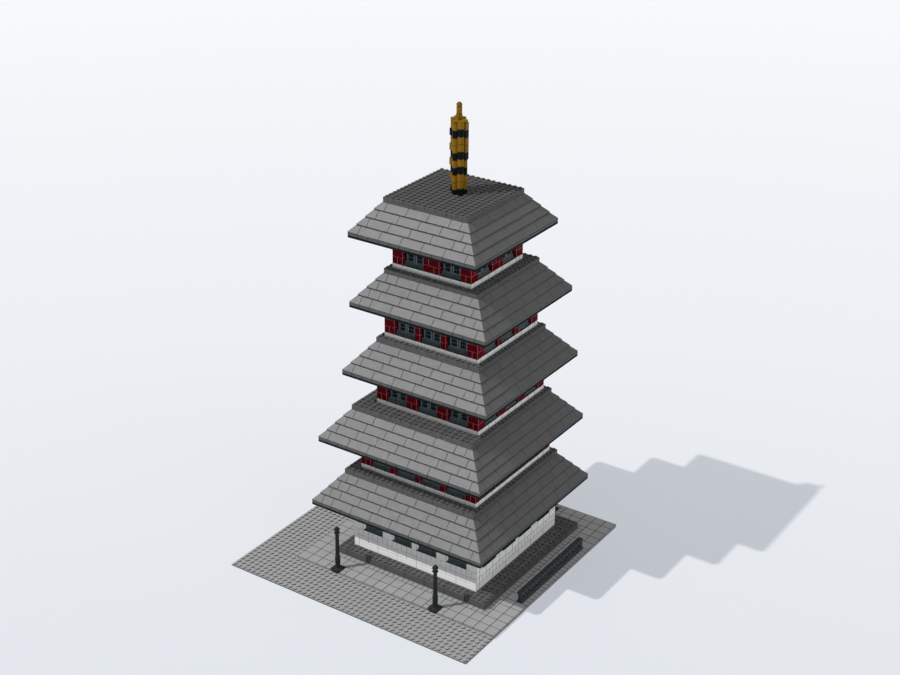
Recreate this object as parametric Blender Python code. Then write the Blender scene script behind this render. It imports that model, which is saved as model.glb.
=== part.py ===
"""Toy pagoda of building bricks: five storeys with stepped roofs on a studded baseplate.

Metres, +Z up. The origin is the centre of the baseplate's underside, and the front faces -Y.
Plan positions are written as stud lines 0 to 48, counted from the baseplate's front left corner.
"""

import math
from collections import namedtuple

import bmesh
import bpy

# Brick system
STUD = 0.008
PLATE = 0.0032
BRICK = 3 * PLATE
STUD_RADIUS = 0.0024
STUD_HEIGHT = 0.0017
CLEARANCE = 0.0003
HOLE_MARGIN = 0.0001

# Ground pieces
BASE_STUDS = 48
BASE_THICKNESS = 0.0016
PAVING_LOW = 8
PLINTH_LOW = 13
PLINTH_HIGH = 43
PAVING_TOP = BASE_THICKNESS + PLATE
PLINTH_TOP = PAVING_TOP + BRICK

# Walls and windows
WALL_THICKNESS = STUD
BAY_STUDS = 4
WINDOW_HEIGHT = 4 * BRICK
WINDOW_RECESS = 0.0047
WINDOW_CORNER = 0.0197
GROUND_BAND = 3 * BRICK
GROUND_TOP_COURSE = PLATE
UPPER_BAND = 2 * PLATE

# Roofs
EAVE_THICKNESS = 2 * PLATE
SLOPE_ROWS = 4
SLOPE_LIP = 0.0016
DECK_THICKNESS = 2 * PLATE

# One storey with the roof above it: stud lines of the walls and of the eave, and the
# widths of the piers between the bays, read along a wall
Tier = namedtuple("Tier", "wall_low wall_high piers roof_low roof_high band top_course")
TIERS = (
    Tier(15, 40, (2, 2, 1, 2, 2), 10, 44, GROUND_BAND, GROUND_TOP_COURSE),
    Tier(16, 39, (2, 1, 1, 1, 2), 11, 43, UPPER_BAND, 0.0),
    Tier(18, 38, (2, 2, 2, 2), 14, 42, UPPER_BAND, 0.0),
    Tier(19, 37, (2, 1, 1, 2), 15, 41, UPPER_BAND, 0.0),
    Tier(20, 35, (2, 3, 2), 15, 39, UPPER_BAND, 0.0),
)

# Lamp posts: centre stud lines, footprint, and the turned column as height and radius
LAMPS = {
    "lamp_front_left": (16, 9),
    "lamp_front_right": (36, 9),
    "lamp_back_left": (16, 46),
    "lamp_back_right": (36, 46),
}
LAMP_HOLE = 2 * STUD
LAMP_CHAMFER = 0.003
LAMP_BASE_HEIGHT = 0.0036
LAMP_SEGMENTS = 16
LAMP_SHAFT = 0.003
LAMP_FLUTE = 0.0041
LAMP_RING = 0.0043
LAMP_COLUMN = (
    (0.0085, LAMP_SHAFT),
    (0.0108, LAMP_SHAFT),
    (0.0112, LAMP_FLUTE),
    (0.0228, LAMP_FLUTE),
    (0.0232, LAMP_SHAFT),
    (0.0598, LAMP_SHAFT),
    (0.0602, LAMP_RING),
    (0.0618, LAMP_RING),
    (0.0622, LAMP_SHAFT),
    (0.0643, LAMP_SHAFT),
    (0.0646, LAMP_RING),
    (0.0672, LAMP_RING),
    (0.0672, STUD_RADIUS),
    (0.0689, STUD_RADIUS),
)

# Fence in its slot beside the plinth
FENCE_X = 46.5
FENCE_LOW = 18
FENCE_HIGH = 38
FENCE_Y = (FENCE_LOW + FENCE_HIGH) / 2
FENCE_HEIGHT = 2 * BRICK
FENCE_FOOT = 2 * PLATE
FENCE_RAIL = PLATE
FENCE_PANEL = 0.0027

# Spire: a bundle of one-stud columns about the middle one, which carries the pin. The left
# column has a leaning bracket and square courses, and the right one is square from a level up.
# These levels count courses of bricks, less the plate by which their columns are set lower
SPIRE_CENTRE = 27.5
SPIRE_MIDDLE = (0, 0)
SPIRE_LEFT = (-1, 0)
SPIRE_RIGHT = (1, 0)
SPIRE_COLUMNS = ((0, -1), (1, -1), SPIRE_RIGHT, (-1, 1), (0, 1))
SPIRE_BONDS = (
    ((0, -1), SPIRE_MIDDLE),
    ((0, -1), (1, -1)),
    (SPIRE_MIDDLE, SPIRE_RIGHT),
    (SPIRE_MIDDLE, (0, 1)),
    ((-1, 1), (0, 1)),
)
SPIRE_LEVELS = 10
SPIRE_SEGMENTS = 16
SPIRE_WEB = 0.003
SPIRE_BRACKET = (1, 3)
SPIRE_SQUARE_LEFT = (4, 6, 8)
SPIRE_SQUARE_RIGHT = 5
PIN_HEIGHT = 2 * BRICK
PIN_FOOT = 2 * PLATE
PIN_RADIUS = 0.0037

COLOURS = {
    "light_grey": ((0.36, 0.37, 0.38), 0.35),
    "dark_grey": ((0.13, 0.135, 0.14), 0.38),
    "black": ((0.012, 0.017, 0.021), 0.35),
    "white": ((0.80, 0.80, 0.79), 0.35),
    "red": ((0.26, 0.004, 0.008), 0.35),
    "gold": ((0.48, 0.25, 0.035), 0.30),
}


def clear_scene():
    """Remove every object of the open file."""
    for item in list(bpy.data.objects):
        bpy.data.objects.remove(item, do_unlink=True)


def make_material(name):
    """Return the plastic of one colour, made once."""
    material = bpy.data.materials.get(name)
    if material is None:
        material = bpy.data.materials.new(name)
        material.use_nodes = True
        colour, roughness = COLOURS[name]
        shader = material.node_tree.nodes["Principled BSDF"]
        shader.inputs["Base Color"].default_value = (*colour, 1.0)
        shader.inputs["Roughness"].default_value = roughness
        shader.inputs["Metallic"].default_value = 0.0
    return material


def line(stud):
    """World coordinate of a stud line."""
    return (stud - BASE_STUDS / 2) * STUD


def add_object(name, shape, location=(0.0, 0.0, 0.0), colour=None):
    """Link a bmesh as an object; without a colour it is a cutter or a guide."""
    bmesh.ops.recalc_face_normals(shape, faces=shape.faces)
    mesh = bpy.data.meshes.new(name)
    shape.to_mesh(mesh)
    shape.free()
    item = bpy.data.objects.new(name, mesh)
    item.location = location
    bpy.context.collection.objects.link(item)
    if colour:
        mesh.materials.append(make_material(colour))
    else:
        item.hide_render = True
        item.display_type = "WIRE"
    return item


def stack_loops(loops):
    """Closed body through loops of equal length, from the lowest to the highest."""
    shape = bmesh.new()
    rings = [[shape.verts.new(point) for point in loop] for loop in loops]
    count = len(rings[0])
    for lower, upper in zip(rings, rings[1:]):
        for index in range(count):
            following = (index + 1) % count
            shape.faces.new((lower[index], lower[following], upper[following], upper[index]))
    shape.faces.new(list(reversed(rings[0])))
    shape.faces.new(rings[-1])
    return shape


def square_loop(half, height):
    """Corners of a level square about the Z axis."""
    return [(-half, -half, height), (half, -half, height), (half, half, height), (-half, half, height)]


def box_shape(ranges):
    """Separate boxes in one bmesh, each as its x, y and z range."""
    shape = bmesh.new()
    for (x0, x1), (y0, y1), (z0, z1) in ranges:
        corners = bmesh.ops.create_cube(shape, size=1.0)["verts"]
        for corner in corners:
            corner.co.x = x0 if corner.co.x < 0 else x1
            corner.co.y = y0 if corner.co.y < 0 else y1
            corner.co.z = z0 if corner.co.z < 0 else z1
    return shape


def add_slab(name, x_range, y_range, z_range, colour):
    """Box between world coordinates, placed by the centre of its underside."""
    half_x = (x_range[1] - x_range[0]) / 2
    half_y = (y_range[1] - y_range[0]) / 2
    place = (x_range[0] + half_x, y_range[0] + half_y, z_range[0])
    shape = box_shape([((-half_x, half_x), (-half_y, half_y), (0.0, z_range[1] - z_range[0]))])
    return add_object(name, shape, place, colour)


def add_boolean(item, other, operation):
    """Cut an object by a cutter, or unite it with a guide."""
    modifier = item.modifiers.new(operation.lower(), "BOOLEAN")
    modifier.operation = operation
    modifier.solver = "EXACT"
    modifier.object = other


def around(centre, width):
    """Range of a hole for a piece of this width, with its margin."""
    reach = width / 2 + HOLE_MARGIN
    return centre - reach, centre + reach


def build_ground():
    """Baseplate, paving with its holes, and the plinth."""
    edge = (line(0), line(BASE_STUDS))
    add_slab("baseplate", edge, edge, (0.0, BASE_THICKNESS), "light_grey")

    paved = (line(PAVING_LOW), line(BASE_STUDS))
    paving = add_slab("paving", paved, paved, (BASE_THICKNESS + CLEARANCE, PAVING_TOP), "light_grey")
    through = (0.0, PAVING_TOP + PLATE)
    holes = [(around(line(x), LAMP_HOLE), around(line(y), LAMP_HOLE), through) for x, y in LAMPS.values()]
    fence_length = (FENCE_HIGH - FENCE_LOW) * STUD
    holes.append((around(line(FENCE_X), STUD), around(line(FENCE_Y), fence_length), through))
    cutter = add_object("cutter_paving", box_shape(holes))
    add_boolean(paving, cutter, "DIFFERENCE")

    sides = (line(PLINTH_LOW), line(PLINTH_HIGH))
    add_slab("plinth", sides, sides, (PAVING_TOP + CLEARANCE, PLINTH_TOP), "dark_grey")


def chamfered_loop(half, chamfer, height):
    """Square with cut corners as sixteen points, two to each corner and two to each side."""
    corner = half - chamfer
    third = corner / 3
    side = [(corner, -half), (half, -corner), (half, -third), (half, third)]
    loop = []
    for turn in range(4):
        cosine = round(math.cos(turn * math.pi / 2))
        sine = round(math.sin(turn * math.pi / 2))
        loop += [(x * cosine - y * sine, x * sine + y * cosine, height) for x, y in side]
    return loop


def round_loop(radius, height, segments, start=0.0):
    """Level circle of points about the Z axis."""
    angles = [start + index * 2 * math.pi / segments for index in range(segments)]
    return [(radius * math.cos(angle), radius * math.sin(angle), height) for angle in angles]


def build_lamps():
    """Four lamp posts, each turned on a square foot in a hole of the paving."""
    half = LAMP_HOLE / 2 + HOLE_MARGIN - CLEARANCE
    first_angle = math.atan2(-half, half - LAMP_CHAMFER)
    loops = [chamfered_loop(half, LAMP_CHAMFER, height) for height in (CLEARANCE, LAMP_BASE_HEIGHT)]
    for height, radius in LAMP_COLUMN:
        loops.append(round_loop(radius, height, LAMP_SEGMENTS, first_angle))
    for name, (stud_x, stud_y) in LAMPS.items():
        add_object(name, stack_loops(loops), (line(stud_x), line(stud_y), BASE_THICKNESS), "black")


def build_fence():
    """Fence of two rails with a thin panel between them, drawn along Y."""
    rail = STUD / 2 + HOLE_MARGIN - CLEARANCE
    panel = FENCE_PANEL / 2
    top_rail = FENCE_HEIGHT - FENCE_RAIL
    right_side = [(rail, CLEARANCE), (rail, FENCE_FOOT), (panel, FENCE_FOOT), (panel, top_rail)]
    right_side += [(rail, top_rail), (rail, FENCE_HEIGHT)]
    outline = right_side + [(-x, z) for x, z in reversed(right_side)]
    half_length = (FENCE_HIGH - FENCE_LOW) * STUD / 2 + HOLE_MARGIN - CLEARANCE
    ends = [[(x, y, z) for x, z in outline] for y in (-half_length, half_length)]
    place = (line(FENCE_X), line(FENCE_Y), BASE_THICKNESS)
    add_object("fence", stack_loops(ends), place, "black")


def octagon_loop(tier, inset, corner, height):
    """Square of a tier's walls, moved in by inset, with its corners cut where x + y is corner."""
    low = line(tier.wall_low)
    high = line(tier.wall_high)
    centre = (low + high) / 2
    near = centre - low - inset
    far = centre - low - (corner - inset)
    points = [(-far, -near), (far, -near), (near, -far), (near, far)]
    points += [(-x, -y) for x, y in points]
    return [(centre + x, centre + y, height) for x, y in points]


def frame_shape(tier, inset, depth, corner, z_range):
    """Eight-sided ring behind the piers, from inset to inset + depth below the wall's face."""
    shape = bmesh.new()
    inner_corner = corner + depth * math.sqrt(2.0)
    loops = []
    for height in z_range:
        outer = octagon_loop(tier, inset, corner, height)
        inner = octagon_loop(tier, inset + depth, inner_corner, height)
        loops.append([shape.verts.new(point) for point in outer])
        loops.append([shape.verts.new(point) for point in inner])
    outer_low, inner_low, outer_high, inner_high = loops
    for index in range(8):
        following = (index + 1) % 8
        for first, second in ((outer_low, outer_high), (inner_high, inner_low)):
            shape.faces.new((first[index], first[following], second[following], second[index]))
        for first, second in ((outer_high, inner_high), (inner_low, outer_low)):
            shape.faces.new((first[index], first[following], second[following], second[index]))
    return shape


def bay_ranges(tier):
    """World coordinate ranges of the window bays along a wall."""
    ranges = []
    start = tier.wall_low
    for pier in tier.piers[:-1]:
        start += pier
        ranges.append((line(start), line(start + BAY_STUDS)))
        start += BAY_STUDS
    return ranges


def build_walls(number, tier, floor):
    """Four walls of one storey, cut through at the bays, and the windows behind the piers."""
    low = line(tier.wall_low)
    high = line(tier.wall_high)
    sill = floor + tier.band
    head = sill + WINDOW_HEIGHT
    top = head + tier.top_course
    cut_top = head if tier.top_course else head + BRICK
    beyond = (low - STUD, high + STUD)

    bays = bay_ranges(tier)
    across = box_shape([(bay, beyond, (sill, cut_top)) for bay in bays])
    along = box_shape([(beyond, bay, (sill, cut_top)) for bay in bays])
    bays_front = add_object(f"cutter_storey{number}_front", across)
    bays_side = add_object(f"cutter_storey{number}_side", along)
    zone_corner = WINDOW_CORNER - CLEARANCE * math.sqrt(2.0)
    zone_depth = WALL_THICKNESS - WINDOW_RECESS + 2 * CLEARANCE
    zone = frame_shape(tier, WINDOW_RECESS - CLEARANCE, zone_depth, zone_corner, (sill, cut_top))
    zone_cutter = add_object(f"cutter_storey{number}_windows", zone)

    inner = (low + WALL_THICKNESS + CLEARANCE, high - WALL_THICKNESS - CLEARANCE)
    height = (floor + CLEARANCE, top)
    walls = {
        "front": ((low, high), (low, low + WALL_THICKNESS), bays_front),
        "right": ((high - WALL_THICKNESS, high), inner, bays_side),
        "back": ((low, high), (high - WALL_THICKNESS, high), bays_front),
        "left": ((low, low + WALL_THICKNESS), inner, bays_side),
    }
    for side, (x_range, y_range, bays_cutter) in walls.items():
        colour = "white" if number == 1 else "red"
        wall = add_slab(f"storey{number}_wall_{side}", x_range, y_range, height, colour)
        add_boolean(wall, bays_cutter, "DIFFERENCE")
        add_boolean(wall, zone_cutter, "DIFFERENCE")

    depth = WALL_THICKNESS - WINDOW_RECESS
    windows = frame_shape(tier, WINDOW_RECESS, depth, WINDOW_CORNER, (sill + CLEARANCE, head - CLEARANCE))
    add_object(f"storey{number}_windows", windows, colour="black")
    return top


def build_roof(number, tier, underside):
    """Eave plates, stepped slopes and the deck of one roof."""
    centre = (line(tier.roof_low) + line(tier.roof_high)) / 2
    half = (line(tier.roof_high) - line(tier.roof_low)) / 2
    edge = (centre - half, centre + half)
    springing = underside + EAVE_THICKNESS
    add_slab(f"roof{number}_eave", edge, edge, (underside + CLEARANCE, springing), "dark_grey")

    loops = []
    for row in range(SLOPE_ROWS):
        foot = row * BRICK
        loops.append(square_loop(half - row * STUD, foot if row else CLEARANCE))
        loops.append(square_loop(half - row * STUD, foot + SLOPE_LIP))
    loops.append(square_loop(half - SLOPE_ROWS * STUD, SLOPE_ROWS * BRICK))
    add_object(f"roof{number}_slopes", stack_loops(loops), (centre, centre, springing), "light_grey")

    deck_low = springing + SLOPE_ROWS * BRICK
    inset = SLOPE_ROWS * STUD
    deck_edge = (edge[0] + inset, edge[1] - inset)
    deck_top = deck_low + DECK_THICKNESS
    add_slab(f"roof{number}_deck", deck_edge, deck_edge, (deck_low + CLEARANCE, deck_top), "dark_grey")
    return deck_top


def column_box(column, z_range):
    """Square brick run on one column of the spire."""
    x = column[0] * STUD
    y = column[1] * STUD
    half = STUD / 2
    return (x - half, x + half), (y - half, y + half), z_range


def web_box(first, second, z_range):
    """Narrow bond between the centres of two neighbouring columns."""
    ranges = []
    for start, end in zip(first, second):
        low, high = sorted((start * STUD, end * STUD))
        margin = SPIRE_WEB / 2 if low == high else 0.0
        ranges.append((low - margin, high + margin))
    return ranges[0], ranges[1], z_range


def column_shape(column, z_range):
    """Round run on one column of the spire, with a flat side to each neighbour."""
    half_step = math.pi / SPIRE_SEGMENTS
    shape = stack_loops([round_loop(STUD / 2, level, SPIRE_SEGMENTS, half_step) for level in z_range])
    bmesh.ops.translate(shape, verts=shape.verts, vec=(column[0] * STUD, column[1] * STUD, 0.0))
    return shape


def bracket_shape(z_range):
    """Course that leans out from the middle column to the left one."""
    low, high = z_range
    inner = -STUD / 2
    outer = inner - STUD
    outline = [(inner, low), (inner, high), (outer, high), (outer, high - SLOPE_LIP)]
    return stack_loops([[(x, y, z) for x, z in outline] for y in (-STUD / 2, STUD / 2)])


def course_level(level):
    """Height of a level of the lowered columns above the deck."""
    return level * BRICK - PLATE


def build_spire(deck_top):
    """Bundle of round columns with square courses on two of them, and the pin."""
    height = SPIRE_LEVELS * BRICK
    full = (CLEARANCE, height)
    bracket = (course_level(SPIRE_BRACKET[0]), course_level(SPIRE_BRACKET[1]))
    left_runs = ((CLEARANCE, bracket[0]), (bracket[1], height))
    place = (line(SPIRE_CENTRE), line(SPIRE_CENTRE), deck_top)
    spire = add_object("spire_columns", box_shape([column_box(SPIRE_MIDDLE, full)]), place, "gold")

    shapes = [column_shape(column, full) for column in SPIRE_COLUMNS]
    shapes += [column_shape(SPIRE_LEFT, z_range) for z_range in left_runs]
    bonds = [web_box(first, second, full) for first, second in SPIRE_BONDS]
    bonds += [web_box(SPIRE_LEFT, SPIRE_MIDDLE, z_range) for z_range in left_runs]
    squares = []
    for level in SPIRE_SQUARE_LEFT:
        squares.append(column_box(SPIRE_LEFT, (course_level(level), course_level(level + 1))))
    square_run = (course_level(SPIRE_SQUARE_RIGHT), course_level(SPIRE_LEVELS))
    squares.append(column_box(SPIRE_RIGHT, square_run))
    shapes += [box_shape([ranges]) for ranges in bonds + squares]
    shapes.append(bracket_shape(bracket))
    for index, shape in enumerate(shapes):
        guide = add_object(f"guide_spire_{index:02d}", shape, place)
        add_boolean(spire, guide, "UNION")

    top = PIN_HEIGHT + STUD_HEIGHT
    foot = ((CLEARANCE, STUD / 2), (PIN_FOOT, STUD / 2))
    shaft = ((PIN_FOOT, PIN_RADIUS), (PIN_HEIGHT, PIN_RADIUS))
    profile = foot + shaft + ((PIN_HEIGHT, STUD_RADIUS), (top, STUD_RADIUS))
    pin = stack_loops([round_loop(radius, level, SPIRE_SEGMENTS) for level, radius in profile])
    add_object("spire_pin", pin, (place[0], place[1], deck_top + height), "gold")


def main():
    clear_scene()
    build_ground()
    build_lamps()
    build_fence()
    floor = PLINTH_TOP
    for number, tier in enumerate(TIERS, start=1):
        wall_top = build_walls(number, tier, floor)
        floor = build_roof(number, tier, wall_top)
    build_spire(floor)


main()
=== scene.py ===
"""Toy brick pagoda: bricks, tiles, windows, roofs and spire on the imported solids.

Metres, +Z up, the front faces -Y. Plan positions are stud lines 0 to 48, counted from the
baseplate's front left corner. A face of a storey or roof is a quarter turn: 0 is the front,
1 the right, 2 the back and 3 the left, and studs along it run counter-clockwise.
"""

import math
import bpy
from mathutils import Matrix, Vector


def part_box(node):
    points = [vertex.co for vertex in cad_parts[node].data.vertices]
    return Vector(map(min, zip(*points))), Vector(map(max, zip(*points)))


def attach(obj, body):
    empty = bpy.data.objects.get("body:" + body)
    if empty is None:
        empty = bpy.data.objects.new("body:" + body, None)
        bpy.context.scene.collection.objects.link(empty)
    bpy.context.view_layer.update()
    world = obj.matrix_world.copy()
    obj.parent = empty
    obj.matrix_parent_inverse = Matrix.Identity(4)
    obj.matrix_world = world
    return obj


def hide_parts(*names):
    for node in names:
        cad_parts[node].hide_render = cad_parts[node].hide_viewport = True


bl_info = {
    "name": "Toy brick pagoda",
    "version": (1, 0, 0),
    "blender": (4, 5, 0),
    "location": "3D View > Sidebar > Pagoda",
    "description": "Bricks, tiles, windows, stepped roofs and spire of a five-storey toy pagoda",
    "category": "Object",
}

import bmesh
import bpy
from bpy.props import FloatProperty, FloatVectorProperty, IntProperty, PointerProperty
from bpy.types import Operator, Panel, PropertyGroup
from mathutils import Matrix, Vector

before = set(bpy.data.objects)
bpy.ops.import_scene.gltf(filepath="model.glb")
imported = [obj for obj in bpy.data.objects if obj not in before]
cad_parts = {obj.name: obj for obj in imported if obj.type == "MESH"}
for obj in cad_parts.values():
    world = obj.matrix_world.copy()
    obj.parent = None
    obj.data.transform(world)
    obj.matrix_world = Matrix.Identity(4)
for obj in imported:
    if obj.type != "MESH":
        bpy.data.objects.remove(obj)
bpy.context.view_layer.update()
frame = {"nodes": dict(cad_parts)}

MM = 0.001
FULL_TURN = 2 * math.pi
QUARTER_TURN = math.pi / 2
BASE_STUDS = 48
BASE_LOW, BASE_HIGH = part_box("baseplate")
STUD_PITCH = (BASE_HIGH.x - BASE_LOW.x) / BASE_STUDS
FACES = 4
STOREYS = 5

# Seeds of the tones; those of storeys and roofs add their number
SLAB_SEED, TILE_SEED, PLINTH_SEED, PLINTH_STUD_SEED, FENCE_SEED = range(1, 6)
WALL_SEED, WINDOW_SEED, SLOPE_SEED, EAVE_SEED, DECK_SEED, DECK_STUD_SEED = range(10, 70, 10)
SPIRE_SEED = 71


# Sizes and colours that a user may change


def length_property(name, description, default):
    """Length in metres, shown with a tenth of a millimetre."""
    return FloatProperty(
        name=name, description=description, default=default, min=0.0, unit="LENGTH", precision=5
    )


def amount_property(name, description, default):
    """Number from 0 up."""
    return FloatProperty(name=name, description=description, default=default, min=0.0)


def angle_property(name, description, degrees):
    """Angle, shown in degrees."""
    return FloatProperty(
        name=name, description=description, default=math.radians(degrees), subtype="ANGLE"
    )


def colour_property(name, description, default):
    """Linear colour."""
    return FloatVectorProperty(
        name=name, description=description, default=default, size=3, min=0.0, max=1.0, subtype="COLOR"
    )


class PagodaBrickSizes(PropertyGroup):
    """Sizes shared by every brick, tile and plate."""

    stud_radius: length_property("Stud radius", "Radius of the round studs", 0.0024)
    stud_height: length_property("Stud height", "Height of the studs above their plate", 0.0017)
    stud_edge: length_property("Stud edge", "Rounding at the top of a stud", 0.0004)
    stud_sides: IntProperty(name="Stud sides", description="Sides of a round stud", default=16, min=8, max=48)
    joint: length_property("Joint", "Air left on each side of a brick", 0.0001)
    edge: length_property("Edge", "Width of the broken edge of a brick", 0.00035)
    brick: length_property("Brick height", "Height of one course of bricks", 0.0096)
    plate: length_property("Plate height", "Height of one layer of plates", 0.0032)
    slope_lip: length_property("Slope lip", "Upright edge at the foot of a slope brick", 0.0016)


class PagodaWindowSizes(PropertyGroup):
    """Sizes of one window unit, four studs wide and four courses high."""

    recess: length_property("Recess", "Depth of the frame behind the face of the wall", 0.0047)
    ledge: length_property("Ledge", "Height of the ledge at the foot of the unit", 0.0011)
    sill: length_property("Sill", "Height of the louvred panel below the casements", 0.0056)
    jamb: length_property("Jamb", "Width of the upright at each end of the unit", 0.0028)
    meeting: length_property("Meeting stile", "Distance from the middle of the bay to the panes", 0.0024)
    field: length_property("Pane width", "Width of the panes in one casement", 0.0079)
    pitch: length_property("Pane pitch", "Height from one bar to the next", 0.0049)
    bar: length_property("Bar", "Height of a bar between the panes", 0.0011)
    pane_depth: length_property("Pane depth", "Depth of the panes behind the frame", 0.0012)


class PagodaColours(PropertyGroup):
    """Colours of the plastics."""

    paving: colour_property("Paving grey", "Baseplate and tiles", (0.285, 0.285, 0.285))
    slope: colour_property("Slope grey", "Roof slopes", (0.079, 0.079, 0.079))
    dark_grey: colour_property("Dark grey", "Plinth, eave plates and decks", (0.084, 0.084, 0.085))
    black: colour_property(
        "Black", "Lower eave plates, window ledges and spire bands", (0.0040, 0.0068, 0.0085)
    )
    post: colour_property("Post", "Lamp posts", (0.019, 0.023, 0.026))
    fence: colour_property("Fence", "Ornamental fence", (0.036, 0.043, 0.049))
    frame: colour_property("Window frame", "Window frames and casements", (0.0115, 0.019, 0.026))
    pane: colour_property("Window pane", "Dark panes behind the lattice", (0.0015, 0.003, 0.006))
    white: colour_property("White", "Ground storey and white bands", (0.87, 0.87, 0.86))
    red: colour_property("Red", "Piers of the upper storeys", (0.106, 0.000, 0.003))
    gold: colour_property("Gold", "Bright levels of the spire", (0.222, 0.113, 0.006))


class PagodaStage(PropertyGroup):
    """Floor, light and camera."""

    floor: colour_property("Floor", "Pale floor", (0.40, 0.40, 0.40))
    glow: amount_property("Floor glow", "Paleness of the floor in shade", 1.0)
    sun: amount_property("Sun", "Strength of the main light", 2.75)
    sun_angle: angle_property("Sun size", "Softness of the shadow's edge", 0.8)
    sky: amount_property("Sky", "Strength of the soft light from all around", 0.10)
    fill: amount_property("Fill", "Strength of the shadowless fill lights", 1.0)
    lens: FloatProperty(name="Lens", description="Focal length in millimetres", default=63.84, min=1.0)
    azimuth: angle_property("Azimuth", "Camera's turn from the front", 34.154)
    elevation: angle_property("Elevation", "Camera above the horizon", 25.759)
    roll: angle_property("Roll", "Camera's turn about its own axis", -0.356)


# Nodes of trees and shaders

NODE_WIDTH = 220
NODE_HEIGHT = 200


def find_socket(sockets, key):
    """Shown socket by its name, or by its place among the shown ones."""
    shown = [socket for socket in sockets if socket.enabled]
    if isinstance(key, int):
        return shown[key]
    return next(socket for socket in shown if socket.name == key)


def add_node(tree, kind, inputs=None, **settings):
    """New node; each input is a value or the output socket of another node."""
    node = tree.nodes.new(kind)
    for key, value in settings.items():
        setattr(node, key, value)
    for key, value in (inputs or {}).items():
        socket = find_socket(node.inputs, key)
        if isinstance(value, bpy.types.NodeSocket):
            tree.links.new(value, socket)
        else:
            socket.default_value = value
    return node


def add_step(tree, kind, inputs=None, **settings):
    """New node, and the first output that it shows."""
    return find_socket(add_node(tree, kind, inputs, **settings).outputs, 0)


def maths(tree, operation, *values):
    """Result of an operation on numbers."""
    return add_step(tree, "ShaderNodeMath", dict(enumerate(values)), operation=operation)


def vector_maths(tree, operation, first, second):
    """Result of an operation on two vectors, or on a vector and its scale."""
    inputs = {0: first, "Scale" if operation == "SCALE" else 1: second}
    return add_step(tree, "ShaderNodeVectorMath", inputs, operation=operation)


def arrange(tree):
    """Lay the nodes out from left to right by how many nodes feed them."""
    rank = {node: 0 for node in tree.nodes}
    for _ in range(len(tree.nodes)):
        for link in tree.links:
            rank[link.to_node] = max(rank[link.to_node], rank[link.from_node] + 1)
    filled = {}
    for node in tree.nodes:
        column = min(rank[node], len(tree.nodes))
        row = filled.get(column, 0)
        filled[column] = row + 1
        node.location = (column * NODE_WIDTH, -row * NODE_HEIGHT)


def new_tree(name, kind, inputs, outputs):
    """Empty node tree with its sockets, each as name, socket type and default."""
    tree = bpy.data.node_groups.new(name, kind)
    for direction, sockets in (("INPUT", inputs), ("OUTPUT", outputs)):
        for label, socket_type, default in sockets:
            socket = tree.interface.new_socket(name=label, in_out=direction, socket_type=socket_type)
            if default is not None:
                socket.default_value = default
    return tree


# Geometry trees

SHAPE_KINDS = 5
MATERIAL_LABELS = ("First material", "Second material", "Third material")


def start_tree(name, *inputs):
    """Geometry tree, its input sockets, and the points handed in, each with a random tone."""
    through = ("Geometry", "NodeSocketGeometry", None)
    materials = [(label, "NodeSocketMaterial", None) for label in MATERIAL_LABELS]
    sockets = (through, *inputs, *materials, ("Seed", "NodeSocketInt", 1))
    tree = new_tree(name, "GeometryNodeTree", sockets, (through,))
    tree.is_modifier = True
    given = add_node(tree, "NodeGroupInput").outputs
    limits = {"Min": 0.0, "Max": 1.0, "Seed": given["Seed"]}
    tone = add_step(tree, "FunctionNodeRandomValue", limits, data_type="FLOAT")
    stored = {"Geometry": given["Geometry"], "Name": "tone", "Value": tone}
    points = add_step(tree, "GeometryNodeStoreNamedAttribute", stored, data_type="FLOAT", domain="POINT")
    return tree, given, points


def read_attribute(tree, name, data_type):
    """Value of a named attribute."""
    return add_step(tree, "GeometryNodeInputNamedAttribute", {"Name": name}, data_type=data_type)


def has_number(tree, name, number):
    """True where the whole number stored under a name has one value."""
    inputs = {"A": read_attribute(tree, name, "INT"), "B": number}
    return add_step(tree, "FunctionNodeCompare", inputs, data_type="INT", operation="EQUAL")


def shape_of(tree, item):
    """Geometry of an object handed in."""
    return add_node(tree, "GeometryNodeObjectInfo", {"Object": item}).outputs["Geometry"]


def close_tree(tree, given, geometry, *names):
    """Give each face the material that its slot number names, and drop what only the tree needed."""
    for number, label in enumerate(MATERIAL_LABELS):
        chosen = has_number(tree, "slot", number)
        inputs = {"Geometry": geometry, "Selection": chosen, "Material": given[label]}
        geometry = add_step(tree, "GeometryNodeSetMaterial", inputs)
    for name in (*names, "slot"):
        geometry = add_step(tree, "GeometryNodeRemoveAttribute", {"Geometry": geometry, "Name": name})
    add_node(tree, "NodeGroupOutput", {"Geometry": geometry})
    arrange(tree)
    return tree


def build_brickwork_tree():
    """Brick with broken edges on each point, stretched to the point's size."""
    tree, given, points = start_tree(
        "Brickwork",
        ("Corner shape", "NodeSocketObject", None),
        ("Joint", "NodeSocketFloat", 0.0001),
        ("Edge", "NodeSocketFloat", 0.00025),
    )
    shape = shape_of(tree, given["Corner shape"])
    inputs = {"Points": points, "Instance": shape, "Scale": given["Edge"]}
    corners = add_step(tree, "GeometryNodeInstanceOnPoints", inputs)
    corners = add_step(tree, "GeometryNodeRealizeInstances", {"Geometry": corners})
    half = vector_maths(tree, "SCALE", read_attribute(tree, "size", "FLOAT_VECTOR"), 0.5)
    reach = vector_maths(tree, "SUBTRACT", half, given["Joint"])
    offset = vector_maths(tree, "MULTIPLY", reach, read_attribute(tree, "corner", "FLOAT_VECTOR"))
    bricks = add_step(tree, "GeometryNodeSetPosition", {"Geometry": corners, "Offset": offset})
    return close_tree(tree, given, bricks, "size", "corner")


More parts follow.
